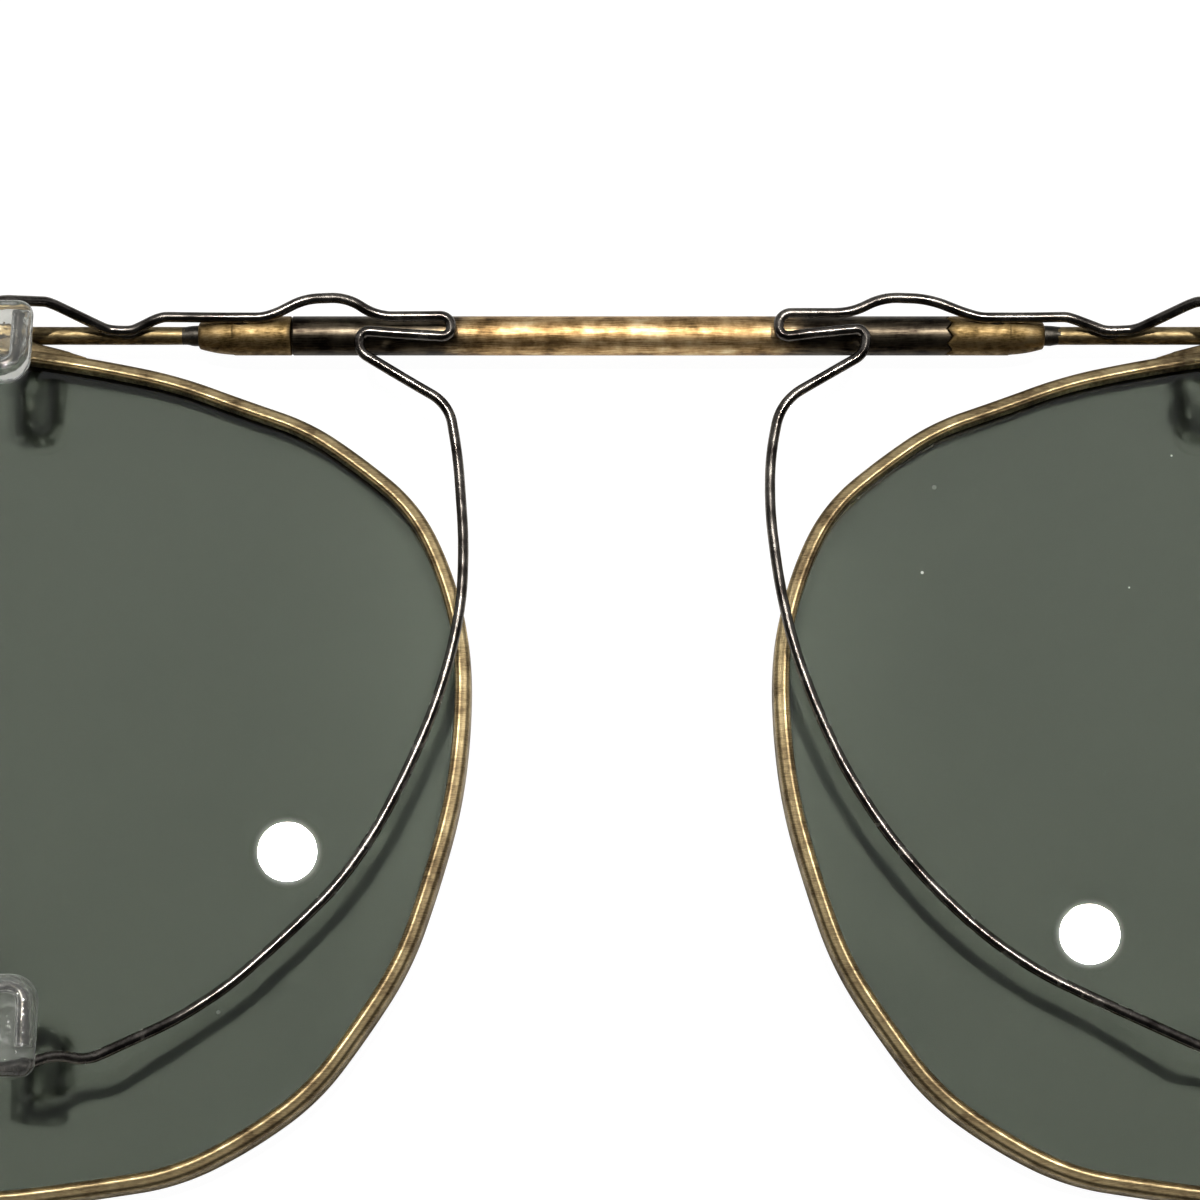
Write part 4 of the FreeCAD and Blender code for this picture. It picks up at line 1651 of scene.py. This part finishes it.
    @staticmethod
    def block_ring(low: Vector, high: Vector, y: float, inset: float) -> Ring:
        """Rounded section of a closing block, squarer on the rim's side.

        Args:
            low: Lowest corner of the block's box.
            high: Its highest corner.
            y: Place of the section along Y.
            inset: How far the section is drawn in.

        Returns:
            The ring.
        """
        middle_z = (low.z + high.z) / 2
        half_depth = (high.z - low.z) / 2 - inset * 0.6
        outer = high.x - inset
        ring = []
        for sx, sz, x, radius, first in ((1, 1, outer, 0.5, 0), (-1, 1, low.x, 0.1, 90),
                                         (-1, -1, low.x, 0.1, 180), (1, -1, outer, 0.5, 270)):
            up = middle_z + sz * (half_depth - radius)
            for across, height in arc_corners(x - sx * radius, up, radius, first, first + 90, 6):
                ring.append(Vector((across, y, height)))
        return ring[::-1]

    def build_screw(self) -> None:
        """Make the slotted screw: a domed head, cut by its slot, on a plain shank."""
        low, high = self.right_box("rim_screw")
        centre = Vector(((low.x + high.x) / 2, 0, (low.z + high.z) / 2))
        head_radius = (high.x - low.x) / 2
        head, shank, dome, shoulder, edge = 0.55, 0.45, 0.22, 0.3, 0.04
        stations = [(low.y, shank - 0.05), (low.y + 0.05, shank), (high.y - head, shank),
                    (high.y - head, head_radius - edge), (high.y - head + edge, head_radius)]
        for angle in range(0, 91, 10):
            turn = math.radians(angle)
            stations.append((high.y - dome + dome * math.sin(turn),
                             head_radius - shoulder + shoulder * math.cos(turn)))
        rings = []
        for y, radius in stations:
            angles = (2 * math.pi * k / self.screw_corners for k in range(self.screw_corners))
            rings.append([centre + Vector((radius * math.sin(angle), y, radius * math.cos(angle)))
                          for angle in angles])
        skin = Skin()
        skin.loft(mirrored(rings, self.side))
        screw = self.finish_piece(skin, "closing_screw", self.finishes.steel, "screw_steel", "rim_screw", 45)
        self.cut_slot(screw, centre, high.y)

    def cut_slot(self, screw: bpy.types.Object, centre: Vector, top: float) -> None:
        """Cut the driver slot into the screw's head.

        Args:
            screw: The screw.
            centre: Its axis.
            top: Height of the head's top.
        """
        half = Vector((0.12, 0.25, 1.2))
        middle = Vector((centre.x * self.side.value, top, centre.z))
        verts = [Vector((middle.x + half.x * a, middle.y + half.y * b, middle.z + half.z * c))
                 for a in (-1, 1) for b in (-1, 1) for c in (-1, 1)]
        faces = [(0, 1, 3, 2), (4, 6, 7, 5), (0, 4, 5, 1), (2, 3, 7, 6), (0, 2, 6, 4), (1, 5, 7, 3)]
        cutter = new_object("slot_cutter", verts, faces)
        modifier = screw.modifiers.new("slot", "BOOLEAN")
        modifier.operation = "DIFFERENCE"
        modifier.solver = "EXACT"
        modifier.object = cutter
        bpy.context.view_layer.update()
        graph = bpy.context.evaluated_depsgraph_get()
        cut = bpy.data.meshes.new_from_object(screw.evaluated_get(graph))
        screw.modifiers.clear()
        screw.data = cut
        cut.shade_smooth()
        cut.set_sharp_from_angle(angle=math.radians(35))
        bpy.data.objects.remove(cutter)

    def build(self) -> None:
        """Make every visible piece of this side."""
        self.build_rim()
        self.build_lens()
        self.build_bar()
        self.build_collar()
        self.build_solder()
        self.build_wire()
        self.build_pads()
        self.build_closing()
        dress(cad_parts[self.side.word + "_rod_head"], self.finishes.brass)


# Floor, lamps and camera

# Each lamp: the place on the glass where its mirror image shows, and the way to it from there.
LAMPS = {
    Side.LEFT: ((-17.2, -6.2, 1.6), (-0.105, 0.193, 0.98)),
    Side.RIGHT: ((23.3, -9.9, 1.6), (0.163, 0.163, 0.973)),
}


@dataclass
class Studio:
    """White floor, one round lamp for each lens, a dim room and the camera."""

    bridge: Bridge
    camera_distance: float = 150.0
    camera_elevation: float = 74.0
    image_width: float = 1200.0
    pixels_per_mm: float = 19.6
    aim_right: float = -1.12
    aim_below_bridge: float = 14.39
    lamp_distance: float = 600.0
    lamp_radius: float = 7.3
    lamp_power: float = 12.5
    lamp_cone: float = 14.5
    lamp_aim_x: float = 62.0
    lamp_aim_y: float = 12.0
    halo_radius: float = 9.8
    halo_radiance: float = 24.0
    halo_corners: int = 48
    floor_half: float = 900.0
    floor_rows: int = 24
    floor_drop: float = 0.005
    floor_rise: float = 260.0

    def aim(self) -> Vector:
        """Point that the camera looks at.

        Returns:
            The point in millimetres.
        """
        return Vector((self.aim_right, self.bridge.y - self.aim_below_bridge, self.bridge.z))

    def back(self) -> Vector:
        """Way from the object to the camera.

        Returns:
            Unit vector.
        """
        lift = math.radians(self.camera_elevation)
        return Vector((0, -math.cos(lift), math.sin(lift)))

    def build_camera(self) -> None:
        """Place the camera above the lenses, tilted towards their lower edge."""
        data = bpy.data.cameras.new("camera")
        data.sensor_width = 36.0
        data.lens = 36.0 * self.pixels_per_mm * self.camera_distance / self.image_width
        data.clip_start = 0.01
        data.clip_end = 10.0
        camera = bpy.data.objects.new("camera", data)
        camera.location = (self.aim() + self.back() * self.camera_distance) * MM
        camera.rotation_mode = "QUATERNION"
        camera.rotation_quaternion = (-self.back()).to_track_quat("-Z", "Y")
        bpy.context.scene.collection.objects.link(camera)
        bpy.context.scene.camera = camera

    def build_floor(self) -> None:
        """Lay the white floor just under the rims, with a gentle curve up at its far side."""
        verts = []
        for index in range(self.floor_rows + 1):
            share = index / self.floor_rows
            y = -self.floor_half + 2 * self.floor_half * share
            curve = max(0.0, share - 0.75) * 4
            for x in (-self.floor_half, self.floor_half):
                verts.append(Vector((x, y, -self.floor_drop + self.floor_rise * curve * curve)))
        faces = [(2 * i, 2 * i + 1, 2 * i + 3, 2 * i + 2) for i in range(self.floor_rows)]
        floor = new_object("paper_floor", verts, faces, self.paper())
        floor.data.shade_smooth()
        floor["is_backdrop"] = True

    def paper(self) -> bpy.types.Material:
        """White paper, lit to the top of the scale where it is seen straight.

        Returns:
            The finished material.
        """
        material, tree = new_tree("white_paper")
        paper = add_node(tree, "ShaderNodeBsdfDiffuse", {"Color": linear("#CECECC")})
        glow = add_node(tree, "ShaderNodeEmission", {"Color": linear("#FFFFFF"), "Strength": 1.14})
        path = add_node(tree, "ShaderNodeLightPath", {})
        share = calculate(tree, "MULTIPLY", {1: 0.86}, {0: path.outputs["Is Camera Ray"]})
        finish_tree(tree, choose(tree, share, paper.outputs["BSDF"], glow.outputs["Emission"]))
        return material

    def build_lamps(self) -> None:
        """Hang one round lamp for each lens, where its mirror image shows low in the glass."""
        for side, (place, way) in LAMPS.items():
            unit = Vector(way).normalized()
            middle = Vector(place) + unit * self.lamp_distance
            name = side.word + "_lamp"
            data = bpy.data.lights.new(name, "SPOT")
            data.energy = self.lamp_power
            data.shadow_soft_size = self.lamp_radius * MM
            data.spot_size = math.radians(self.lamp_cone)
            data.spot_blend = 0.35
            data.color = (1.0, 0.985, 0.96)
            lamp = bpy.data.objects.new(name, data)
            lamp.location = middle * MM
            aim = Vector((side.value * self.lamp_aim_x, self.lamp_aim_y, 0.0))
            lamp.rotation_mode = "QUATERNION"
            lamp.rotation_quaternion = (aim - middle).to_track_quat("-Z", "Y")
            bpy.context.scene.collection.objects.link(lamp)
            self.build_halo(side, middle + unit * 2 * self.lamp_radius, unit)

    def build_halo(self, side: Side, middle: Vector, unit: Vector) -> None:
        """Hang a frosted ring behind a lamp that softens the rim of its mirror image.

        Args:
            side: Which lamp.
            middle: Middle of the ring, in millimetres.
            unit: Unit vector from the glass to the lamp.
        """
        across = unit.orthogonal().normalized()
        up = unit.cross(across)
        angles = [2 * math.pi * index / self.halo_corners for index in range(self.halo_corners)]
        skin = Skin()
        skin.loft([[middle + (across * math.cos(angle) + up * math.sin(angle)) * radius for angle in angles]
                   for radius in (self.lamp_radius * 0.9, self.halo_radius)], caps=False)
        halo = new_object(side.word + "_frosted_ring", skin.verts, skin.faces, self.frosted())
        shade = halo.data.attributes.new("middle", "FLOAT", "POINT")
        for index in range(self.halo_corners):
            shade.data[index].value = 1.0
        halo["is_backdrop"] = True

    def frosted(self) -> bpy.types.Material:
        """Glowing frosted glass, bright in the middle and soft at its rim.

        Returns:
            The finished material.
        """
        material, tree = new_tree("frosted_lamp")
        middle = add_node(tree, "ShaderNodeAttribute", {"attribute_name": "middle"})
        fall = calculate(tree, "POWER", {1: 3.0}, {0: middle.outputs["Fac"]})
        bright = calculate(tree, "MULTIPLY", {1: self.halo_radiance}, {0: fall})
        glow = add_node(tree, "ShaderNodeEmission", {"Color": linear("#FFFDF8")}, {"Strength": bright})
        finish_tree(tree, glow.outputs["Emission"])
        return material

    def build_world(self) -> None:
        """Dim room: pale wall on the brow side, dark on the side of the cheeks."""
        world = bpy.data.worlds.new("room")
        world.use_nodes = True
        tree = world.node_tree
        tree.nodes.clear()
        place = add_node(tree, "ShaderNodeTexCoord", {})
        split = add_node(tree, "ShaderNodeSeparateXYZ", {}, {"Vector": place.outputs["Generated"]})
        wall = map_range(tree, split.outputs["Y"], (-0.1, 0.6), (0.04, 0.6), smooth=True)
        back = add_node(tree, "ShaderNodeBackground", {"Color": linear("#F4F6F8")}, {"Strength": wall})
        add_node(tree, "ShaderNodeOutputWorld", {}, {"Surface": back.outputs["Background"]})
        bpy.context.scene.world = world
        bpy.context.scene.view_settings.view_transform = "Standard"

    def build(self) -> None:
        """Make the whole studio."""
        self.build_floor()
        self.build_lamps()
        self.build_world()
        self.build_camera()


def main() -> None:
    """Build the sunglasses and the studio."""
    logging.basicConfig(level=logging.INFO, format="%(message)s")
    at_load = [corner.copy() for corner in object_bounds()]
    finishes = Finishes()
    bridge = Bridge(finishes)
    bridge.build_tube()
    bridge.dress_inner_parts()
    for side in Side:
        LensFrame(side, bridge, finishes).build()
    Studio(bridge).build()


if __name__ == "__main__":
    main()
